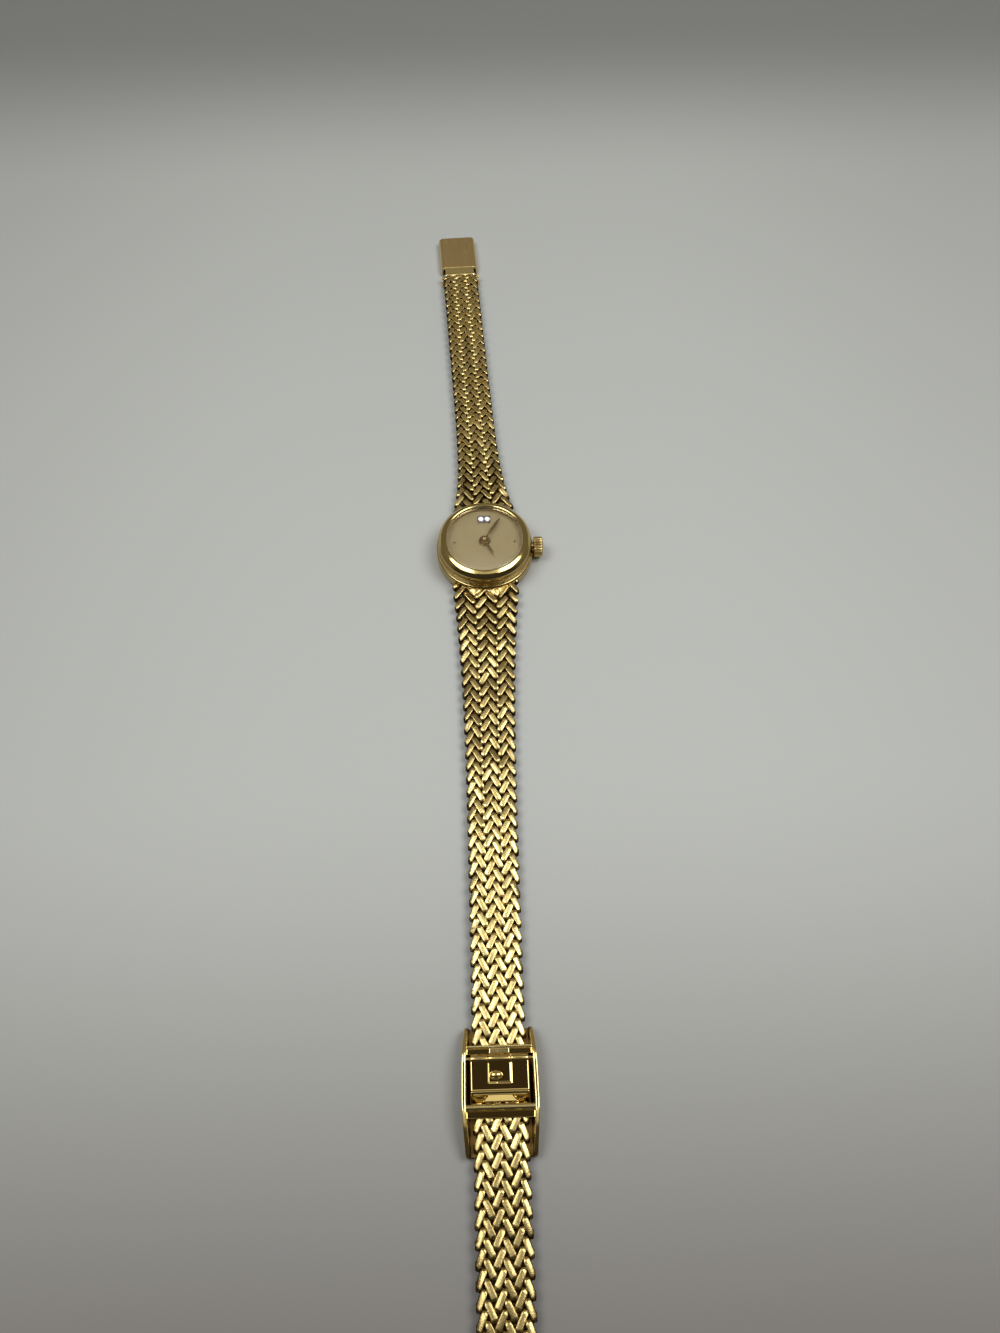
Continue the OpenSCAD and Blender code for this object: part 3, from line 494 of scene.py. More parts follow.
def metal(name, tone, dull, gloss, marks=1.0, stretch=None, dimples=0.0, gaps=None):
    """A metal that marks make duller and rougher. It may be brushed or dimpled, and darkened low in its gaps
    by painted shade with some tarnish.
    """
    material, tree, shader = new_material(name, Metallic=1.0)
    wear = placed(tree, FINE_MARKS, Amount=marks)
    colour, roughness = worn(tree, wear["Marks"], tone, dull, gloss)
    height = wear["Height"]
    if stretch:
        lines = placed(tree, BRUSHING, Stretch=stretch)["Lines"]
        height = calculate(tree, "ADD", height, lines)
        roughness = calculate(tree, "ADD", roughness, calculate(tree, "MULTIPLY", lines, 0.08))
    if dimples:
        # Patina, and at the tail painted shadow, in a browner gold
        colour = mixed(tree, placed(tree, PATINA_AND_SHADE)["Mask"], colour, GOLD_BROWN)
        hollows = calculate(tree, "MULTIPLY", placed(tree, DIMPLES)["Dimples"], dimples)
        height = calculate(tree, "ADD", height, hollows)
    if gaps:
        # Painted shade, with some tarnish, darkens the metal low down in its gaps
        low, high, dark = gaps
        gap_shading = placed(tree, GAP_SHADE_AND_TARNISH, Low=low * MM, High=high * MM, Clean=colour, Dark=dark)
        colour = gap_shading["Color"]
        roughness = calculate(tree, "ADD", roughness, calculate(tree, "MULTIPLY", gap_shading["Mask"], 0.25))
    drive(tree, shader, colour, roughness, height)
    return material


def satin_plastic(name, tone, other, rough):
    """A plain moulded material with faint mottling."""
    material, tree, shader = new_material(name)
    wear = placed(tree, FINE_MARKS)
    look = worn(tree, wear["Marks"], tone, other, (rough, rough + 0.2))
    drive(tree, shader, *look, wear["Height"], 1.5 * METAL_MARKS)
    return material


def make_dial_finish():
    """Champagne dial: a fine matt grain, and a very soft sunray from the centre."""
    material, tree, shader = new_material("dial_champagne", Metallic=0.35)
    place = object_place(tree)
    parts = add(tree, "SeparateXYZ", {"Vector": place}).outputs
    angle = calculate(tree, "ARCTAN2", parts["Y"], parts["X"])
    ray_at = {"W": calculate(tree, "MULTIPLY", angle, 60.0), "Scale": 1.0, "Detail": 3.0}
    rays = add(tree, "TexNoise", ray_at, noise_dimensions="1D").outputs["Fac"]
    grain = noise_at(tree, place, 14000.0)
    tone = mixed(tree, rays, rgb(0.182, 0.142, 0.066), rgb(0.212, 0.17, 0.081))
    tone = mixed(tree, calculate(tree, "MULTIPLY", grain, 0.25), tone, rgb(0.2, 0.155, 0.07))
    roughness = ramp(tree, grain, 0.3, 0.7, 0.55, 0.68)
    drive(tree, shader, tone, roughness, calculate(tree, "ADD", rays, grain), 0.5 * METAL_MARKS)
    return material


def make_glass_finish(name, index, clear_share=1.0):
    """Clear glass that lets the lamps' light through, with faint wiping marks in its gloss."""
    material, tree, shader = new_material(name, Transmission_Weight=clear_share, IOR=index)
    marks = placed(tree, FINE_MARKS, Scale=900.0, Amount=0.5)["Marks"]
    drive(tree, shader, *worn(tree, marks, rgb(1, 1, 1), rgb(0.96, 0.97, 0.97), (0.0, 0.06)))
    clear = add(tree, "BsdfTransparent")
    shadow = add(tree, "LightPath").outputs["Is Shadow Ray"]
    both = add(tree, "MixShader", {0: shadow, 1: shader.outputs[0], 2: clear.outputs[0]})
    tree.links.new(both.outputs[0], tree.nodes["Material Output"].inputs["Surface"])
    return material


# Each metal's tone, worn tone, roughness from clean to worn, and what else it has
METALS = {
    "gold_polished": (GOLD, GOLD_DULL, (0.1, 0.32), {"marks": 0.5}),
    # The case and bezel finishes are darker copies of the gold, painted shade for their dim reflections; the
    # mirror finish is a little deeper than the gold, partly painted shade
    "gold_case_shaded": (rgb(0.52, 0.39, 0.16), rgb(0.4, 0.29, 0.11), (0.14, 0.32), {"marks": 0.5}),
    "gold_worn": (rgb(0.66, 0.48, 0.18), rgb(0.4, 0.27, 0.09), (0.2, 0.4), {}),
    "gold_mirror": (rgb(0.8, 0.6, 0.22), GOLD_DULL, (0.04, 0.2), {"marks": 0.25}),
    # The bezel's groove and foot get painted shade, with some tarnish
    "gold_bezel_shaded": (rgb(0.6, 0.46, 0.18), rgb(0.45, 0.33, 0.12), (0.12, 0.3),
                   {"marks": 0.5, "gaps": (3.3, 4.5, rgb(0.26, 0.16, 0.045))}),
    # The slider's floor and lower cheeks get painted shade, with some tarnish
    "gold_slider": (GOLD, GOLD_DULL, (0.1, 0.32), {"marks": 0.5, "gaps": (1.2, 2.45, rgb(0.2, 0.12, 0.035))}),
    "gold_satin": (rgb(0.82, 0.62, 0.28), GOLD_DULL, (0.28, 0.45), {"stretch": (1.0, 0.03, 1.0)}),
    # Below the link tops the mesh gets painted shade, with some tarnish
    "gold_mesh": (rgb(0.82, 0.66, 0.28), GOLD_DULL, (0.25, 0.42),
                  {"dimples": 3.2, "gaps": (BAND_HIGH - GRAIN_HALF, BAND_HIGH - 0.1, SHADE_AND_TARNISH)}),
    "gold_back": (GOLD, GOLD_DULL, (0.2, 0.4), {"stretch": (0.04, 1.0, 1.0)}),
    "hand_gold": (rgb(0.36, 0.25, 0.1), rgb(0.25, 0.17, 0.06), (0.2, 0.35), {"marks": 0.5}),
    "stone_frame": (rgb(0.42, 0.4, 0.42), rgb(0.25, 0.24, 0.26), (0.18, 0.35), {}),
    "movement_brass": (rgb(0.78, 0.6, 0.3), rgb(0.6, 0.45, 0.2), (0.25, 0.45), {"stretch": (1.0, 0.05, 1.0)}),
    "movement_steel": (rgb(0.66, 0.67, 0.69), rgb(0.5, 0.5, 0.52), (0.18, 0.4), {}),
    "coil_wire": (rgb(0.72, 0.33, 0.16), rgb(0.5, 0.2, 0.09), (0.3, 0.5), {"stretch": (1.0, 1.0, 0.05)}),
}
# Each plastic's two tones and roughness
PLASTICS = {
    "gasket": (rgb(0.012, 0.012, 0.013), rgb(0.05, 0.05, 0.05), 0.5),
    "nylon": (rgb(0.22, 0.16, 0.08), rgb(0.18, 0.13, 0.07), 0.45),
    "spacer": (rgb(0.7, 0.69, 0.64), rgb(0.55, 0.54, 0.5), 0.4),
    "board": (rgb(0.02, 0.16, 0.07), rgb(0.05, 0.24, 0.1), 0.35),
    "dial_print": (rgb(0.05, 0.035, 0.015), rgb(0.12, 0.08, 0.04), 0.35),
}
FINISH = {name: metal(name, tone, dull, gloss, **more) for name, (tone, dull, gloss, more) in METALS.items()}
FINISH.update({name: satin_plastic(name, *look) for name, look in PLASTICS.items()})
FINISH["crystal"] = make_glass_finish("crystal", 1.45)
FINISH["stone_clear"] = make_glass_finish("stone_clear", 2.2, 0.45)
FINISH["dial_champagne"] = make_dial_finish()


def put(name, data):
    """A new object in the scene."""
    made = bpy.data.objects.new(name, data)
    bpy.context.scene.collection.objects.link(made)
    return made


def piece(name, shape, finish, body=None, stands_for=(), flat=False, crisp=True):
    """A mesh piece from a shape in millimetres, with its finish, riding on a body.

    A crisp piece is shaded by its larger faces, so that its flats stay flat between rounded rims.
    """
    points, faces = shape
    mesh = bpy.data.meshes.new(name)
    sizes = np.concatenate([np.full(len(side), side.shape[1]) for side in faces])
    corners = np.concatenate([side.ravel() for side in faces])
    mesh.vertices.add(len(points))
    mesh.vertices.foreach_set("co", (points * MM).astype(np.float32).ravel())
    mesh.loops.add(len(corners))
    mesh.loops.foreach_set("vertex_index", corners.astype(np.int32))
    mesh.polygons.add(len(sizes))
    mesh.polygons.foreach_set("loop_start", np.concatenate([[0], np.cumsum(sizes)[:-1]]).astype(np.int32))
    mesh.update(calc_edges=True)
    mesh.validate()
    mesh.polygons.foreach_set("use_smooth", np.full(len(mesh.polygons), not flat))
    mesh.materials.append(FINISH[finish])
    made = put(name, mesh)
    if crisp:
        made.modifiers.new("flats", "WEIGHTED_NORMAL").weight = 80
    if body:
        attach(made, body)
    if stands_for:
        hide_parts(*stands_for)
    return made


# The woven band

# Half of a link's outline from its round end to its middle, as turns of the end's circle
END_TURNS = np.radians([25, 54, 90])
# A link's cross section from edge to edge: a pressed flat top, round shoulders and a narrower foot
SECTION_X = np.array([-0.64, 0.64, 0.93, 1.0, 0.8, -0.8, -1.0, -0.93])
SECTION_Z = np.array([1.0, 1.0, 0.7, 0.15, -1.0, -1.0, 0.15, 0.7])
# The spread of the links' roll and pitch in degrees, its share more at the case, and how far that reaches
ROLL_SPREAD, PITCH_SPREAD = 4.0, 2.5
UNRULY, UNRULY_REACH = 1.5, 12
# The band's edge as shares of its half width: where its links start to roll over, over which stretch, and how
# far out they get. Their tops then lie lower by the fall.
EDGE_FROM, EDGE_OVER, EDGE_OUT, EDGE_FALL = 0.78, 0.21, 0.145, 0.4


def spread(along, reach):
    """How much wider the band is at a distance from the case."""
    return 1 + FLARE / (2 * BAND_HALF) * np.exp(-np.maximum(along, 0) / reach)


def grains(middle, run, half_wide, level, tuck, top_drop):
    """Rice-grain links: flat-topped bars with round ends, which sink by the tuck toward the weave below.

    Stations stand at the run's length plus the end circle's cosine, as wide as its sine. Heights sink with
    the station's share of the length, cubed. Every grain rolls and pitches a little, as woven ones do.
    """
    count = len(middle)
    length = np.linalg.norm(run, axis=1)[:, None]
    ahead = unit(run)
    beside = np.stack([-ahead[:, 1], ahead[:, 0]], 1)
    out = length * [1, 1, 0.9] + half_wide[:, None] * np.cos(END_TURNS)
    station = np.concatenate([-out, out[:, ::-1]], 1)
    wide = half_wide[:, None] * np.concatenate([0.95 * np.sin(END_TURNS), np.sin(END_TURNS)[::-1]])
    share = station / out[:, :1]
    sink = np.where(share < 0, tuck[0], tuck[1]) * np.abs(share) ** 3
    high = GRAIN_HALF * (1 - top_drop * np.abs(share) ** 8)
    across = wide[..., None] * SECTION_X
    height = level - sink[..., None] + high[..., None] * SECTION_Z
    unruly = 1 + UNRULY * np.exp(-middle[:, 1] / UNRULY_REACH)
    roll = np.radians(chance.normal(0, ROLL_SPREAD, count) * unruly)[:, None, None]
    pitch = np.radians(chance.normal(0, PITCH_SPREAD, count) * unruly)[:, None, None]
    height = height + roll * across + pitch * station[..., None]
    length_way = ahead[:, None, None] * station[..., None, None]
    plan = middle[:, None, None] + length_way + beside[:, None, None] * across[..., None]
    return np.concatenate([plan, height[..., None]], -1)


def laid_out(first, last, odd, reach, later, run):
    """Middles and runs of the grains in some rows, and how much wider the band is there.

    Even columns lean one way, odd ones the other and half a pitch on.
    """
    column, row = np.meshgrid(np.arange(COLUMNS), np.arange(first, last + 1), indexing="ij")
    column, row = column.ravel(), row.ravel()
    right = (column + odd) % 2 == 0
    along = FIRST_ROW + (row + later + np.where(right, 0, 0.5)) * PITCH
    wide = spread(along, reach)
    runs = np.stack([run[0] * wide * np.where(right, 1, -1), np.full(len(row), run[1])], 1)
    middle = np.stack([(column - (COLUMNS - 1) / 2) * COLUMN * wide, along], 1)
    return middle, runs, wide


def link_grains(first, last, odd, reach):
    """The bright links on top, plumper after the first rows and a little more so toward the clasp."""
    middle, runs, wide = laid_out(first, last, odd, reach, 0, LINK_RUN)
    along = middle[:, 1]
    plump = 1.05 + 0.13 * np.clip(along / 15, 0, 1) + 0.06 * np.clip((along - 30) / 25, 0, 1)
    half_wide = LINK_HALF * (0.7 + 0.3 * wide) * plump
    return grains(middle, runs, half_wide, BAND_HIGH - GRAIN_HALF, (0.08, 0.24), 0.16)


def stroke_grains(first, last, odd, reach):
    """The return strokes underneath, drawn together a little, which carry each coil on to its next link."""
    middle, runs, wide = laid_out(first, last, odd, reach, 0.5, STROKE_RUN)
    half_wide = STROKE_HALF * (0.4 + 0.6 * wide)
    made = grains(middle, runs, half_wide, BAND_LOW + GRAIN_HALF, (-0.25, -0.25), 0.4)
    made[..., 0] *= 0.95 - 0.05 * np.exp(-np.maximum(made[..., 1], 0) / 4)
    return made


def within_edges(points, reach):
    """Grains rolled over the band's edges: past a line near them, points move on along a quarter round."""
    limit = BAND_HALF * spread(points[..., 1], reach)
    x = points[..., 0]
    line = EDGE_FROM * limit
    turn = np.clip((np.abs(x) - line) / (EDGE_OVER * limit), 0, 1) * np.pi / 2
    rolled = np.sign(x) * (line + EDGE_OUT * limit * np.sin(turn))
    points[..., 0] = np.where(turn > 0, rolled, x)
    points[..., 2] -= EDGE_FALL * (1 - np.cos(turn)) * (points[..., 2] > (BAND_LOW + BAND_HIGH) / 2)
    return points


def out_of_case(points):
    """Points inside the case's wall pushed out to just under its surface, where the band is soldered on."""
    core = np.clip(points[..., 1], -STRAIGHT, STRAIGHT)
    off = np.stack([points[..., 0], points[..., 1] - core], -1)
    size = np.linalg.norm(off, axis=-1)
    scale = np.maximum(1, (CASE_RADIUS - 0.12) / np.maximum(size, 0.1))
    result = points.copy()
    result[..., 0] = off[..., 0] * scale
    result[..., 1] = core + off[..., 1] * scale
    return result


def weave(first, rows, side, odd, reach, end, root):
    """One length of mesh: its links and its strokes.

    The root has three more rows, inside the case's wall. The last length stops just inside its clamp.
    """
    last = first + rows - 1
    start = first - 3 if root else first
    links = link_grains(start, last + (end is not None), odd, reach)
    strokes = stroke_grains(start, last - (end is None), odd, reach)
    layers = []
    for layer in (links, strokes):
        layer = within_edges(layer, reach)
        if end is not None:
            layer[..., 1] = np.minimum(layer[..., 1], end + 0.25)
        layer = side(layer)
        layers.append(skin(out_of_case(layer) if root else layer))
    return join(*layers)


def crossing(row, side, odd, reach):
    """The strokes that cross one bending line."""
    return skin(side(within_edges(stroke_grains(row, row, odd, reach), reach)))


def bend_over(made, side, row):
    """The strokes over a bending line, with their placement baked into their points. The line's two ends are
    worked out but not used.
    """
    hinge = FIRST_ROW + (row + HINGE_AFTER) * PITCH
    start, end = side(np.array([[0, hinge - BEND_HALF, BAND_LOW], [0, hinge + BEND_HALF, BAND_LOW]])) * MM
    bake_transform(made)


def make_band(label, side, odd, reach, lengths):
    """All lengths of one side: (node, rows, body, end), the first being the root at the case."""
    first = 0
    for place, (node, rows, body, end) in enumerate(lengths):
        shape = weave(first, rows, side, odd, reach, end, root=place == 0)
        piece("weave_" + node.removeprefix("mesh_"), shape, "gold_mesh", body, [node])
        first += rows
        if place + 1 < len(lengths):
            over = crossing(first - 1, side, odd, reach)
            strokes = piece(f"bend_{label}_{place + 1}", over, "gold_mesh", crisp=False)
            bend_over(strokes, side, first - 1)


upper = [("mesh_up_0", ROOT_ROWS, "case", None)]
upper += [(f"mesh_up_{n}", ROWS_EACH, f"upper_{n}", None) for n in range(1, LENGTHS)]
upper += [(f"mesh_up_{LENGTHS}", ROWS_EACH, f"upper_{LENGTHS}", UPPER_END)]
lower = [("mesh_low_0", ROOT_ROWS, "case", None)]
lower += [(f"mesh_low_{n}", ROWS_EACH, f"lower_{n}", None) for n in range(1, LENGTHS + 1)]
lower += [("mesh_slide", SLIDE_ROWS, "slide_mesh", None), ("mesh_tail_1", ROWS_EACH, "tail_1", None),
          ("mesh_tail_2", ROWS_EACH, "tail_2", LOWER_END)]
make_band("up", on_upper, 0, 6.3, upper)
make_band("low", on_lower, 1, 17.0, lower)


# The case, from the back up

def make_case():
    """The middle: a softly barrelled flank, a fine step under the bezel, the bore and the crown tube."""
    r = CASE_RADIUS
    flank = [[r - 0.85, 0.3], [r - 0.2, 0.3], [r - 0.03, 0.62], [r, 1.3], [r - 0.02, FLANK_TOP]]
    step = [[r - 0.17, FLANK_TOP + 0.2], [r - 0.25, FLANK_TOP + 0.22], [r - 0.42, CASE_TOP]]
    ledge = [[r - 1, CASE_TOP], [r - 1, LEDGE_TOP], [r - 1.85, LEDGE_TOP], [r - 1.85, DIAL_FACE]]
    bore = [[r - 1.4, DIAL_FACE], [r - 1.4, 0.55], [r - 0.85, 0.55]]
    radii = [0.03, 0.12, 0.25, 0.6, 0.12, 0.03, 0.05, 0.08, 0.03, 0.03, 0.05, 0.03, 0.03, 0.03, 0.03]
    wall = [[0.5, r - 1.0], [0.88, r - 1.0], [0.9, r + 1.0], [0.5, r + 1.0]]
    tube = carried(wall, count=40)[..., [2, 0, 1]] + [0, 0, middle_of("stem")[2]]
    return join(ring(flank + step + ledge + bore, radii), skin(tube, "loop"))


def make_seam(middle):
    """The solder that joins the first links to the case, about a direction seen from the case's centre.

    It is a sheet that reaches out between the links, furthest at two places where it was drawn along the
    coils, and falls off as a quarter ellipse. Ripples of several lengths make its edge uneven.
    """
    share = np.linspace(-1, 1, 141)[:, None]
    drawn = 0.3 + 1.1 * np.sin(1.5 * np.pi * np.abs(share)) ** 2
    out = (drawn + 0.1 * np.cos(37 * share) + 0.07 * np.cos(61 * share + 1)) * (1 - share**6)
    turn = np.linspace(0, np.pi / 2, 9)[None]
    radius = CASE_RADIUS - 0.15 + (out + 0.15) * np.sin(turn)
    ripple = 0.05 * np.cos(29 * share + 3 * turn) + 0.03 * np.cos(53 * share - 5 * turn)
    rise = (BAND_HIGH - BAND_LOW - 0.2 + ripple) * (1 - share**8) * np.sqrt(np.cos(turn))
    around = middle + 0.6 * share
    x = radius * np.cos(around)
    y = radius * np.sin(around) + STRAIGHT * np.sign(math.sin(middle))
    return sheet(at(x, y, BAND_LOW + 0.15 + rise), at(x, y, BAND_LOW + 0.1))


def make_bezel():
    """The bezel: a foot bead, a groove, and the fat polished roll that slopes up and turns to the lip."""
    r = CASE_RADIUS
    foot = [[r - 1, CASE_TOP], [r - 0.4, CASE_TOP], [r - 0.42, 3.14], [r - 0.68, 3.2], [r - 0.66, 3.42]]
    roll = [[r - 0.45, 3.5], [r - 0.42, 4.12], [r - 0.98, CREST - 0.26], [r - 1.6, CREST]]
    lip = [[r - 1.78, CREST - 0.1], [r - 1.78, FLANGE_TOP], [r - 1.45, FLANGE_TOP]]
    seat = [[r - 1.45, LEDGE_TOP], [r - 1, LEDGE_TOP]]
    radii = [0.03, 0.1, 0.1, 0.05, 0.08, 0.12, 0.5, 0.9, 0.14, 0.06, 0.03, 0.03, 0.03, 0.03]
    return ring(foot + roll + lip + seat, radii, 8)


def make_crystal():
    """The crystal: a thick pane on a flange, with a softly rounded rim.

    The height of its low dome falls with the square of the radius.
    """
    low, high = box_of("crystal")
    foot, top, flange, rim = low[2], high[2], FLANGE_TOP, CASE_RADIUS - 1.82
    share = np.linspace(0.97, 0.02, 12)
    dome = np.stack([rim * share, top - 0.3 * share**2], 1)
    side = [[0.1, flange], [rim - 0.08, flange], [rim - 0.04, foot], [rim + 0.3, foot], [rim + 0.3, flange],
            [rim, flange], [rim, top - 0.42], [rim - 0.05, top - 0.34]]
    return skin(carried(np.concatenate([side, dome]), STRAIGHT))


def make_back():
    """The snap back: a plain disc with a rounded edge, a shallow turned step and its snap wall."""
    r = CASE_RADIUS - 0.9
    face = [[0.4, 0.03], [r - 1.9, 0.03], [r - 1.8, 0.0], [r - 0.25, 0.0], [r - 0.07, 0.07], [r, 0.25]]
    wall = [[r, 0.55], [r - 0.55, 0.55], [r - 0.55, 1.25], [r - 1.0, 1.25], [r - 1.0, 0.55], [0.4, 0.55]]
    return skin(carried(face + wall, STRAIGHT))


def make_dots(node, radius):
    """The two printed dots, as low domes of lacquer."""
    low, high = box_of(node)
    turn = np.linspace(0, np.pi / 2, 6)[:-1]
    dome = np.stack([radius * np.cos(turn), 0.05 * np.sin(turn)], 1)
    out = high[0] - radius - 0.1
    return join(*[skin(carried(dome, count=32) + [x, middle_of(node)[1], low[2]]) for x in (-out, out)])


def make_brilliants():
    """Both stones: a table, a sixteen-cornered girdle level with the setting's face, and a pavilion."""
    turn = np.arange(16) * np.pi / 8
    sharp = 1 - 0.05 * (np.arange(16) % 2)
    wide = 0.48 * np.array([0.05, 1, 1, 0.82, 0.55])[:, None] * sharp
    height = np.array([-0.18, -0.03, 0.02, 0.0715, 0.13])[:, None]
    gem = at(wide * np.cos(turn), wide * np.sin(turn), height)
    y, face = middle_of("stone_setting")[1], box_of("stone_setting")[1][2]
    return skin(np.stack([gem + [x, y, face] for x in (-STONE_AT, STONE_AT)]))


def make_setting():
    """The white-metal box: a rounded plate, its raised rim, and a collet and four claws for each stone."""
    low, high = box_of("stone_setting")
    middle, face = middle_of("stone_setting")[:2], high[2]
    base = plate(oblong(low[:2], high[:2], 0.15), low[2], face - 0.12, 0.05)
    outer = oblong(low[:2], high[:2], 0.16)
    inner = (outer - middle) * [0.88, 0.82] + middle
    inward, rise = np.array([[0, 0, 0.25, 0.75, 1, 1], [-0.14, -0.03, 0, 0, -0.03, -0.14]])[..., None]
    flat = outer + (inner - outer) * inward[..., None]
    rim = at(flat[..., 0], flat[..., 1], face + rise)
    collet = [[0.46, -0.1], [0.55, -0.1], [0.54, 0.0], [0.5, 0.02], [0.46, -0.02]]
    turn = np.linspace(0, np.pi / 2, 4)[:-1]
    claw_wide = 0.075 * np.concatenate([[1], np.cos(turn)])
    claw = np.stack([claw_wide, np.concatenate([[-0.1], 0.05 + 0.05 * np.sin(turn)])], 1)
    shapes = [base, skin(rim, "loop")]
    for x in (-STONE_AT, STONE_AT):
        centre = np.array([x, middle[1], face])
        shapes.append(skin(carried(collet, count=32) + centre, "loop"))
        for a in np.radians([45, 135, 225, 315]):
            foot = centre + [0.49 * math.cos(a), 0.49 * math.sin(a), -0.02]
            shapes.append(skin(carried(claw, count=10) + foot))
    return join(*shapes)


def make_hand(node, length, swell, hub, bore, angle):
    """A leaf hand: its width swells and narrows along its length, its top has a ridge, its hub is a ring."""
    low, high = box_of(node)
    share = np.array([0, 0.03, 0.06, 0.14, 0.27, 0.41, 0.56, 0.72, 0.93, 1])
    start = hub * 0.75
    along = start + share * (length - start)
    half = 0.12 + swell * np.sin(np.pi * share**1.3) - 0.07 * share
    half[-1] = 0.02
    foot, top = low[2] + 0.01, high[2]
    ring_x = half[:, None] * [-1, 1, 1, 0, -1]
    ring_z = np.array([foot, foot, foot + 0.04, top, foot + 0.04])
    blade = skin(at(ring_x, along[:, None], ring_z))
    profile = fillet([[bore, foot], [hub, foot], [hub, top], [bore + 0.1, top], [bore, top - 0.05]], 0.025, 4)
    eye = skin(carried(profile, count=48), "loop")
    points, faces = join(blade, eye)
    return outward(turned(points, math.radians(-angle)), faces)


def make_crown():
    """The crown along x: its flutes are a cosine round the rim, faded out at both ends of it.

    Its face is shallow and dished, and it is hollow toward the case.
    """
    low, high = box_of("crown")
    flutes, count = 24, 24 * 8
    inner, outer = low[0], high[0]
    station = inner + np.array([0, 0.04, 0.14, 0.3, 1.1, 1.28, 1.4, 1.47, 1.5])
    wide = high[1] - np.array([0.16, 0.05, 0.0, 0.0, 0.0, 0.03, 0.12, 0.28, 0.5])
    deep = np.array([0.0, 0.09, 0.13, 0.13, 0.13, 0.12, 0.08, 0.02, 0.0])
    turn = np.arange(count) * 2 * np.pi / count
    rim = wide[:, None] - deep[:, None] * np.abs(np.cos(turn * flutes / 2)) ** 1.5
    cup = np.array([[outer - 0.42, 0.4], [outer - 0.4, 1.2], [inner, 1.2]])
    face = np.array([[outer - 0.02, 0.9], [outer - 0.07, 0.75], [outer - 0.03, 0.4]])
    radii = np.concatenate([np.repeat(cup[:, 1:], count, 1), rim, np.repeat(face[:, 1:], count, 1)])
    along = np.concatenate([cup[:, 0], station, face[:, 0]])[:, None]
    return skin(at(along, radii * np.cos(turn), radii * np.sin(turn) + middle_of("crown")[2]))


hour_leaf = make_hand("hour_hand", length=3.7, swell=0.11, hub=0.95, bore=0.52, angle=152.5)
minute_leaf = make_hand("minute_hand", length=5.4, swell=0.16, hub=0.8, bore=0.27, angle=30)
piece("case_shell", make_case(), "gold_case_shaded", "case", ["case_middle"])
piece("seam_up", make_seam(math.pi / 2 + UPPER_LEAN), "gold_satin", "case")
piece("seam_low", make_seam(-math.pi / 2), "gold_satin", "case")
piece("bezel_ring", make_bezel(), "gold_bezel_shaded", "case", ["bezel"])
piece("crystal_dome", make_crystal(), "crystal", "case", ["crystal"])
piece("back_cover", make_back(), "gold_back", "case", ["case_back"])
piece("lacquer_dots", make_dots("dial_markers", 0.24), "dial_print", "case", ["dial_markers"])
piece("setting", make_setting(), "stone_frame", "case", ["stone_setting"])
piece("brilliants", make_brilliants(), "stone_clear", "case", ["stone"], flat=True)
piece("hour_leaf", hour_leaf, "hand_gold", "hours", ["hour_hand"])
piece("minute_leaf", minute_leaf, "hand_gold", "centre", ["minute_hand"])
piece("fluted_crown", make_crown(), "gold_worn", "crown_set", ["crown"])


# The clasp, in band coordinates until it is placed

def band_plate(half, start, end, low, high, radius, edge):
    """A rounded plate across the band."""
    return plate(oblong((-half, start), (half, end), radius), low, high, edge)


def cross_rod(start, end, along, level, radius, edge=0.08, count=24):
    """A round bar across the band, with rounded rims."""
    drawn, rise = quarter(edge)
    wide = radius - np.concatenate([drawn, drawn[::-1]])
    profile = np.stack([wide, np.concatenate([start + rise, end - rise[::-1]])], 1)
    return skin(carried(profile, count=count)[..., [2, 0, 1]] + [0, along, level])


def make_cheek(side):
    """One cheek of the slider: an arched outline in the band's upright plane, bowed outward."""
    long, high, shoulder = SLIDER_END - SLIDER_START, SLIDER_HIGH[2], 2.7
    front = [[0, 0], [long, 0], [long, 1.5], [long - 2.8, shoulder], [long - 5.6, high]]
    rear = [[3.6, high], [1.4, shoulder], [0, 1.6]]
    outline = fillet(np.array(front + rear) + [SLIDER_START, 0], [0.32, 0.32, 0.8, 10, 10, 8, 4, 1.2], 8)
    points, faces = plate(outline, SLIDER_HALF - CHEEK - 0.06, SLIDER_HALF + 0.04, 0.18, 5)
    points = points[:, [2, 0, 1]]
    share = (points[:, 1] - SLIDER_START) / long
    points[:, 0] += 0.3 * np.sin(np.pi * share) - 0.08 + 0.09 * (points[:, 2] - 1)
    points[:, 0] *= side
    return outward(points, faces)


def make_slider():
    """The slider's floor, cheeks, lip and stay as one shape, and the two strips across it as another."""
    half, start, over = SLIDER_HALF - 0.25, SLIDER_START, BAND_HIGH
    floor = band_plate(half, start + 0.1, SLIDER_END - 0.1, 0.0, 0.45, 0.3, 0.1)
    lip = band_plate(half, start + 2.4, start + 2.82, over + 0.1, over + 0.5, 0.2, 0.12)
    shelf = band_plate(half, start + 2.6, start + 3.48, over + 0.07, over + 0.24, 0.1, 0.05)
    stay = band_plate(1.3, start + 2.7, start + 3.45, over + 0.1, over + 0.4, 0.15, 0.09)
    strip = band_plate(half, BAR_AT + 0.1, BAR_AT + 1.25, over + 0.07, over + 0.26, 0.12, 0.06)
    return join(floor, make_cheek(1), make_cheek(-1), lip, stay), join(shelf, strip)


def near_line(x, y, places):
    """Distance of each point from a line of straight stretches."""
    best = np.full(x.shape, 1e9)
    for (ax, ay), (bx, by) in zip(places[:-1], places[1:]):
        run = np.array([bx - ax, by - ay])
        share = np.clip(((x - ax) * run[0] + (y - ay) * run[1]) / (run @ run), 0, 1)
        best = np.minimum(best, np.hypot(x - ax - share * run[0], y - ay - share * run[1]))
    return best


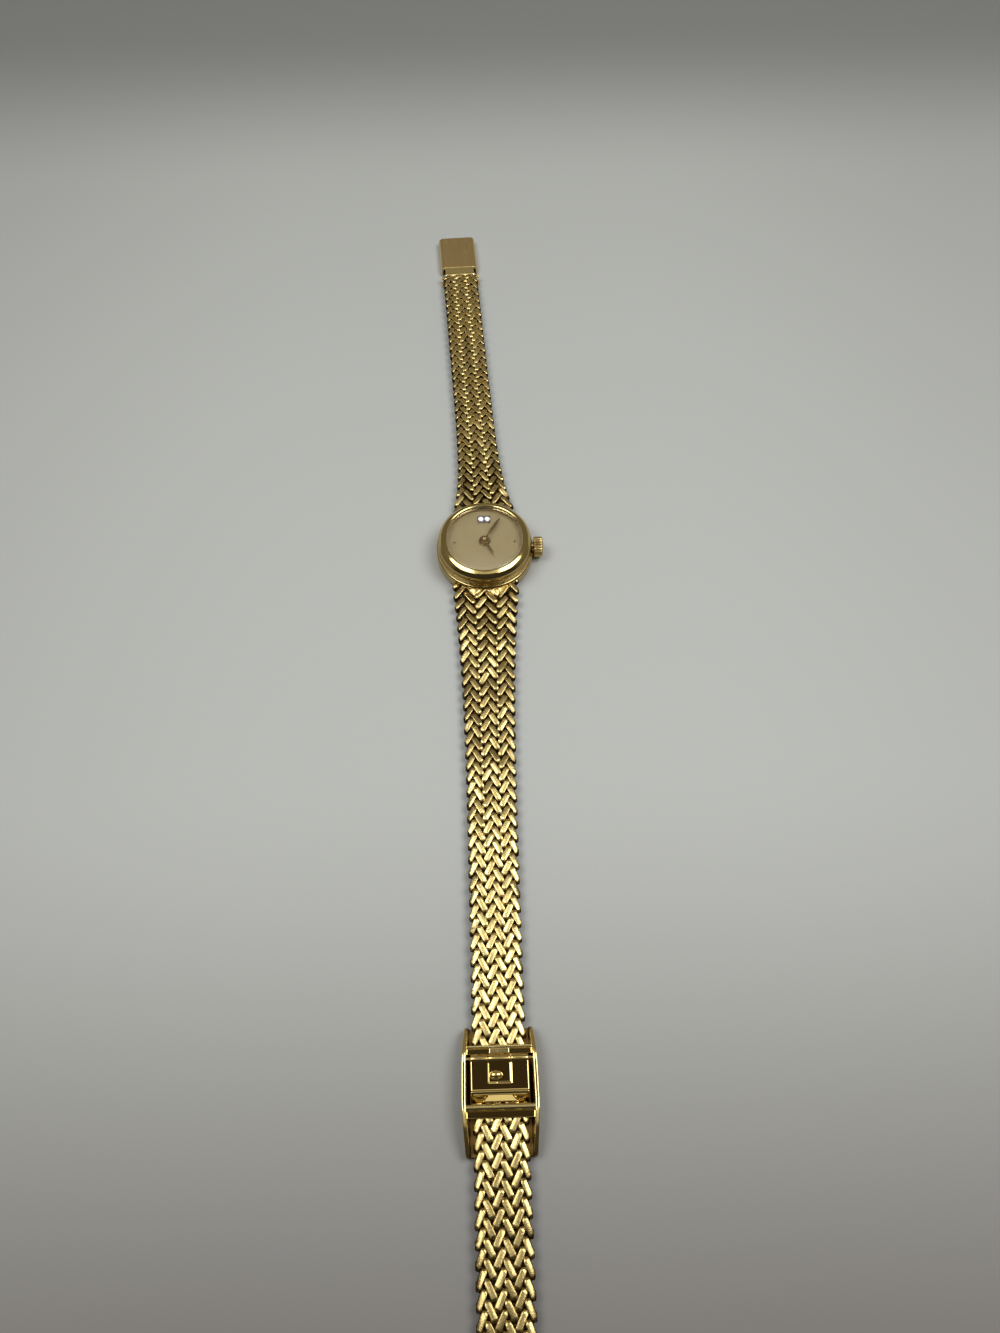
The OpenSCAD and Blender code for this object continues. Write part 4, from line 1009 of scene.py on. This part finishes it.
def lever_sheet():
    """The lever's pressed sheet over a grid.

    Its top is a flat that falls toward the free end, with a soft crown, the bump, a fold before the tab and
    the tab's lift, less the cut round the tongue and the rims' round-off.
    """
    rows = [np.linspace(0.2, LEVER_LONG - 0.12, 70), LEVER_LONG + np.array([-0.04, 0.04, 0.12]),
            LEVER_LONG + spaced(0.2, TAB_LONG, 0.12, 8)[2:]]
    away = np.concatenate(rows)[:, None]
    on_tab = np.clip((away - LEVER_LONG) / TAB_LONG, 0, 1)
    half = np.where(away < LEVER_LONG, LEVER_HALF, TAB_NEAR + (TAB_FAR - TAB_NEAR) * on_tab)
    x = spaced(-1, 1, 0.04, 110)[None] * half
    y = np.broadcast_to(away, x.shape)
    bump = 1 - ((x - BUMP_AT[0]) / BUMP_HALF[0]) ** 2 - ((y - BUMP_AT[1]) / BUMP_HALF[1]) ** 2
    fold = np.exp(-(((y - LEVER_LONG + 0.35) / 0.16) ** 2))
    edge = np.minimum(half - np.abs(x), LEVER_LONG + TAB_LONG - y)
    crown = 0.05 * (1 - (x / LEVER_HALF) ** 2)
    fall = 0.13 - 0.07 * y
    top = 2.86 + fall + crown + 0.3 * np.sqrt(np.clip(bump, 0, 1)) + 0.1 * fold - round_off(edge, 0.12)
    top -= 0.07 * np.exp(-((near_line(x, y, CUT) / 0.05) ** 2))
    top -= 0.02 * np.exp(-((near_line(x, y, FAINT_CUT) / 0.05) ** 2))
    top += 0.16 * on_tab
    bottom = 2.55 + fall + round_off(edge, 0.08)
    return sheet(at(x, y + LEVER_AXIS, top), at(x, y + LEVER_AXIS, bottom))


def lever_skirt():
    """The sheet's edge below the tab, turned down in an arc and then straight."""
    turn = np.linspace(0, 1.15, 8)
    arc = np.stack([np.sin(turn), np.cos(turn) - 1], 1)
    across = spaced(-LEVER_HALF + 0.04, LEVER_HALF - 0.04, 0.06, 10)[:, None]
    grids = []
    for radius, level in ((0.5, 2.69), (0.3, 2.49)):
        line = np.concatenate([arc, arc[-1:]]) * radius + [LEVER_AXIS + LEVER_LONG - 0.3, level]
        line[-1] += SKIRT_REACH
        grids.append(at(across, line[:, 0], line[:, 1]))
    return sheet(*grids)


def make_lever():
    """The lock lever: its sheet and skirt, the cam under it, and three knuckles round its pin."""
    bounds = (-LEVER_HALF, -1.45, 1.45, LEVER_HALF)
    knuckles = [cross_rod(low + 0.05, high - 0.05, LEVER_AXIS, LEVER_LEVEL, 0.5)
                for low, high in zip(bounds[:-1], bounds[1:])]
    cam = band_plate(2.5, LEVER_AXIS + 2.6, LEVER_AXIS + 3.3, BAND_HIGH + 0.14, 2.7, 0.1, 0.06)
    return join(lever_sheet(), lever_skirt(), cam, *knuckles)


def cover_shell():
    """The clasp cover's channel, pressed from sheet.

    Its outer and inner paths go up one flank, over a barely crowned top and down the other. Both draw
    together toward the two ends, where the rims are rounded.
    """
    half, thick, top = 3.75, 0.4, box_of("clasp_cover")[1][2]
    steps = 8
    corners = [[-half, -0.6], [half, -0.6], [half, top], [-half, top]]
    path = fillet(corners, [0.05, 0.05, 0.9, 0.9], steps)[2 * steps:]
    path = np.concatenate([[[half, 0.02]], path, [[-half, 0.02]]])
    flat = np.linspace(0, 1, 14)[1:-1, None]
    corner = len(path) // 2
    over = path[corner - 1] * (1 - flat) + path[corner] * flat
    path = np.concatenate([path[:corner], over, path[corner:]])
    normal = unit(np.gradient(path, axis=0))[:, ::-1] * [1, -1]
    station = spaced(COVER_AXIS + 2.0, COVER_END, 0.14, 40)[:, None]
    from_start, to_end = station - station[0], station[-1] - station
    rim = round_off(np.minimum(from_start, to_end), 0.14)[..., None]
    crown = 0.06 * np.sin(np.pi * from_start / (station[-1] - station[0]))
    grids = []
    for line in (path - normal * rim, path - normal * (thick - rim)):
        height = line[..., 1] + np.where(line[..., 1] > 1.2, crown - 0.06, 0)
        grids.append(at(line[..., 0], station, height))
    return sheet(*grids)


def cover_step():
    """The narrower step between the cover's channel and its hinge, with its two rolled knuckles."""
    half, end = 2.95, COVER_AXIS + 2.4
    points, faces = band_plate(half, COVER_AXIS + 0.35, end, 1.42, 1.8, 0.12, 0.07)
    points[:, 2] -= 0.2 * (end - points[:, 1])
    knuckles = [cross_rod(a, b, COVER_AXIS, COVER_LEVEL, ROLL, 0.07) for a, b in ((1.3, half), (-half, -1.3))]
    return join((points, faces), *knuckles)


def make_ferrule():
    """The band's end: a slim clamp over the last links, its centre knuckle, and a stub at each side."""
    axis = COVER_AXIS
    clamp = band_plate(3.6, axis - 1.1, axis - 0.62, 0.42, 1.75, 0.24, 0.14)
    under = band_plate(3.85, axis - 1.95, axis - 0.7, 0.4, 0.56, 0.1, 0.05)
    knuckle = cross_rod(-1.25, 1.25, axis, COVER_LEVEL, ROLL, 0.07)
    neck = band_plate(1.2, axis - 0.8, axis - 0.2, 1.0, 1.6, 0.1, 0.06)
    stubs = [cross_rod(a, b, axis - 0.55, 1.35, 0.36, 0.12) for a, b in ((3.3, 3.85), (-3.85, -3.3))]
    return join(clamp, under, knuckle, neck, *stubs)


def make_tail_cap():
    """The band's end cap with its two laps over the last links."""
    half, low, high = CAP_HIGH[0], CAP_LOW[2], CAP_HIGH[2]
    lap = LOWER_END - 1.0, LOWER_END + 0.3
    block = band_plate(half, LOWER_END - 0.05, TAIL_END, low, high, 0.42, 0.25)
    over = band_plate(half, *lap, BAND_HIGH - 0.01, high, 0.15, 0.05)
    under = band_plate(half, *lap, low, BAND_LOW + 0.01, 0.15, 0.05)
    return join(block, over, under)


def make_catch():
    """The cover's catch, a bent tongue under its top."""
    stem = band_plate(1.5, COVER_END - 3.2, COVER_END - 2.8, 0.35, 1.5, 0.08, 0.05)
    toe = band_plate(1.5, COVER_END - 4.1, COVER_END - 3.0, 0.35, 0.7, 0.14, 0.08)
    return join(stem, toe)


slider_body, cross_strips = make_slider()
rivet = cross_rod(-PIN_HALF, PIN_HALF, LEVER_AXIS, LEVER_LEVEL, 0.22, 0.06)
bar = join(cross_rod(-SLIDER_HALF + 0.1, SLIDER_HALF - 0.1, BAR_AT, BAR_LEVEL, 0.4, 0.05, 32),
           cross_rod(-PIN_HALF, PIN_HALF, BAR_AT, BAR_LEVEL, 0.26, 0.08, 32))
piece("slider_body", moved(slider_body, on_lower), "gold_slider", "slider", ["slider_frame"])
piece("cross_strips", moved(cross_strips, on_lower), "gold_mirror", "slider")
piece("lever_sheet", moved(make_lever(), on_lower), "gold_mirror", "lever", ["lock_lever"])
piece("lever_rivet", moved(rivet, on_lower), "gold_polished", "slider", ["lever_pin"])
piece("hook_rod", moved(bar, on_lower), "gold_polished", "slider", ["hook_bar"])
piece("cover_sheet", moved(cover_shell(), on_upper), "gold_satin", "cover", ["clasp_cover"])
piece("cover_leaf", moved(cover_step(), on_upper), "gold_polished", "cover")
piece("ferrule", moved(make_ferrule(), on_upper), "gold_polished", "upper_7", ["band_end_ferrule"])
piece("cover_catch", moved(make_catch(), on_upper), "gold_satin", "cover", ["cover_hook"])
piece("band_cap", moved(make_tail_cap(), on_lower), "gold_polished", "tail_2", ["tail_cap"])


# Nodes that keep their own shape

NODE_FINISH = {
    "gasket": ["back_gasket", "crown_gasket"],
    "nylon": ["crystal_gasket"],
    "spacer": ["movement_ring"],
    "movement_brass": ["main_plate", "train_bridge", "intermediate_wheel", "third_wheel", "centre_wheel",
                       "minute_wheel", "hour_wheel"],
    "movement_steel": ["bridge_screws", "battery", "stator", "rotor", "stem", "sliding_pinion", "cover_pin"],
    "gold_back": ["battery_contact"],
    "board": ["circuit_board"],
    "coil_wire": ["coil"],
    "dial_champagne": ["dial"],
}
for finish, nodes in NODE_FINISH.items():
    for node in nodes:
        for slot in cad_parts[node].material_slots:
            slot.material = FINISH[finish]


# Floor, light and camera

FLOOR_NEAR, FLOOR_FAR, FLOOR_SIDE = -900, 1500, 1200
# Where the painted shade of a backdrop starts toward the back, and over which stretch, in metres
BACKDROP_AT, BACKDROP_DEEP = 0.105, 0.065
# The direction in which what holds the camera darkens the dome
HOLDER_WAY = (0.0, 0.04, 1.0)
LAMP_SIZE = (220, 170)


def make_floor():
    """A pale table with painted shade: a darker, warmer shadow toward the camera, a little darker toward both
    sides, and a far part that falls into a darker backdrop tone.
    """
    material, tree, shader = new_material("table_grey", Roughness=0.75)
    place = object_place(tree)
    parts = add(tree, "SeparateXYZ", {"Vector": place}).outputs
    mottle = noise_at(tree, place, 9.0)
    # The darker, warmer tone toward the camera is painted shadow; the cooler one is the lit table
    near_shadow = mixed(tree, mottle, rgb(0.146, 0.134, 0.126), rgb(0.155, 0.142, 0.133))
    cool = mixed(tree, mottle, rgb(0.45, 0.468, 0.45), rgb(0.465, 0.48, 0.462))
    tone = mixed(tree, ramp(tree, parts["Y"], -0.135, -0.04), near_shadow, cool)
    # Painted shade toward both sides
    side_shade = ramp(tree, calculate(tree, "ABSOLUTE", parts["X"]), 0.03, 0.12, 0.0, 0.22)
    tone = mixed(tree, side_shade, tone, rgb(0.22, 0.22, 0.21))
    # Painted shade of a backdrop toward the back
    far = ramp(tree, parts["Y"], BACKDROP_AT, BACKDROP_AT + BACKDROP_DEEP)
    tree.links.new(mixed(tree, far, tone, rgb(0.25, 0.26, 0.25)), shader.inputs["Base Color"])
    corners = [(-1, FLOOR_NEAR), (1, FLOOR_NEAR), (1, FLOOR_FAR), (-1, FLOOR_FAR)]
    mesh = bpy.data.meshes.new("table")
    mesh.from_pydata([(side * FLOOR_SIDE * MM, y * MM, 0) for side, y in corners], [], [(0, 1, 2, 3)])
    mesh.materials.append(material)
    put("table", mesh)


def make_world():
    """A soft dome, brightest overhead and dim behind the camera, that the camera sees as plain pale grey."""
    world = bpy.data.worlds.new("soft_dome")
    world.use_nodes = True
    bpy.context.scene.world = world
    tree = world.node_tree
    toward = add(tree, "TexCoord").outputs["Generated"]
    way = add(tree, "SeparateXYZ", {"Vector": toward}).outputs
    light = mixed(tree, ramp(tree, way["Z"], 0.86, 0.95), rgb(0.2, 0.18, 0.15), rgb(0.95, 0.93, 0.88))
    off = add(tree, "VectorMath", {0: toward, 1: HOLDER_WAY}, operation="DISTANCE").outputs["Value"]
    light = mixed(tree, ramp(tree, off, 0.21, 0.13), light, rgb(0.04, 0.03, 0.02))
    light = mixed(tree, ramp(tree, way["Y"], -0.12, -0.42), light, rgb(0.05, 0.045, 0.04))
    seen = add(tree, "LightPath").outputs["Is Camera Ray"]
    tree.links.new(mixed(tree, seen, light, rgb(0.4, 0.4, 0.4)), tree.nodes["Background"].inputs["Color"])


def add_lamp(name, place, aim, watts):
    """A rectangular soft lamp at a place, facing a point, both in millimetres."""
    data = bpy.data.lights.new(name, "AREA")
    data.shape = "RECTANGLE"
    data.size = LAMP_SIZE[0] * MM
    data.size_y = LAMP_SIZE[1] * MM
    data.energy = watts
    lamp = put(name, data)
    lamp.location = Vector(place) * MM
    lamp.rotation_mode = "QUATERNION"
    lamp.rotation_quaternion = (Vector(aim) - Vector(place)).to_track_quat("-Z", "Y")


# The photograph's camera, from the band's even width and row spacing
CAMERA_AT = (-0.6, -104.6, 138.0)
CAMERA_DOWN = 59.2
CAMERA_TURN = -1.75
FOCAL_PIXELS = 1000.0
LONG_SIDE_PIXELS = 1333.0


def make_camera():
    """The photograph's camera: its place, its tilt below the horizon and its turn."""
    data = bpy.data.cameras.new("photo_camera")
    data.sensor_width = 36.0
    data.sensor_fit = "AUTO"
    data.lens = data.sensor_width * FOCAL_PIXELS / LONG_SIDE_PIXELS
    data.clip_start = 0.005
    camera = put("photo_camera", data)
    camera.location = Vector(CAMERA_AT) * MM
    camera.rotation_euler = (math.radians(90 - CAMERA_DOWN), 0, math.radians(CAMERA_TURN))
    bpy.context.scene.camera = camera


make_floor()
make_world()
add_lamp("left_soft", (-165, -30, 330), (-20, -50, 0), 0.6)
add_lamp("right_soft", (180, -30, 330), (20, -50, 0), 0.75)
make_camera()
bpy.context.scene.view_settings.view_transform = "Standard"
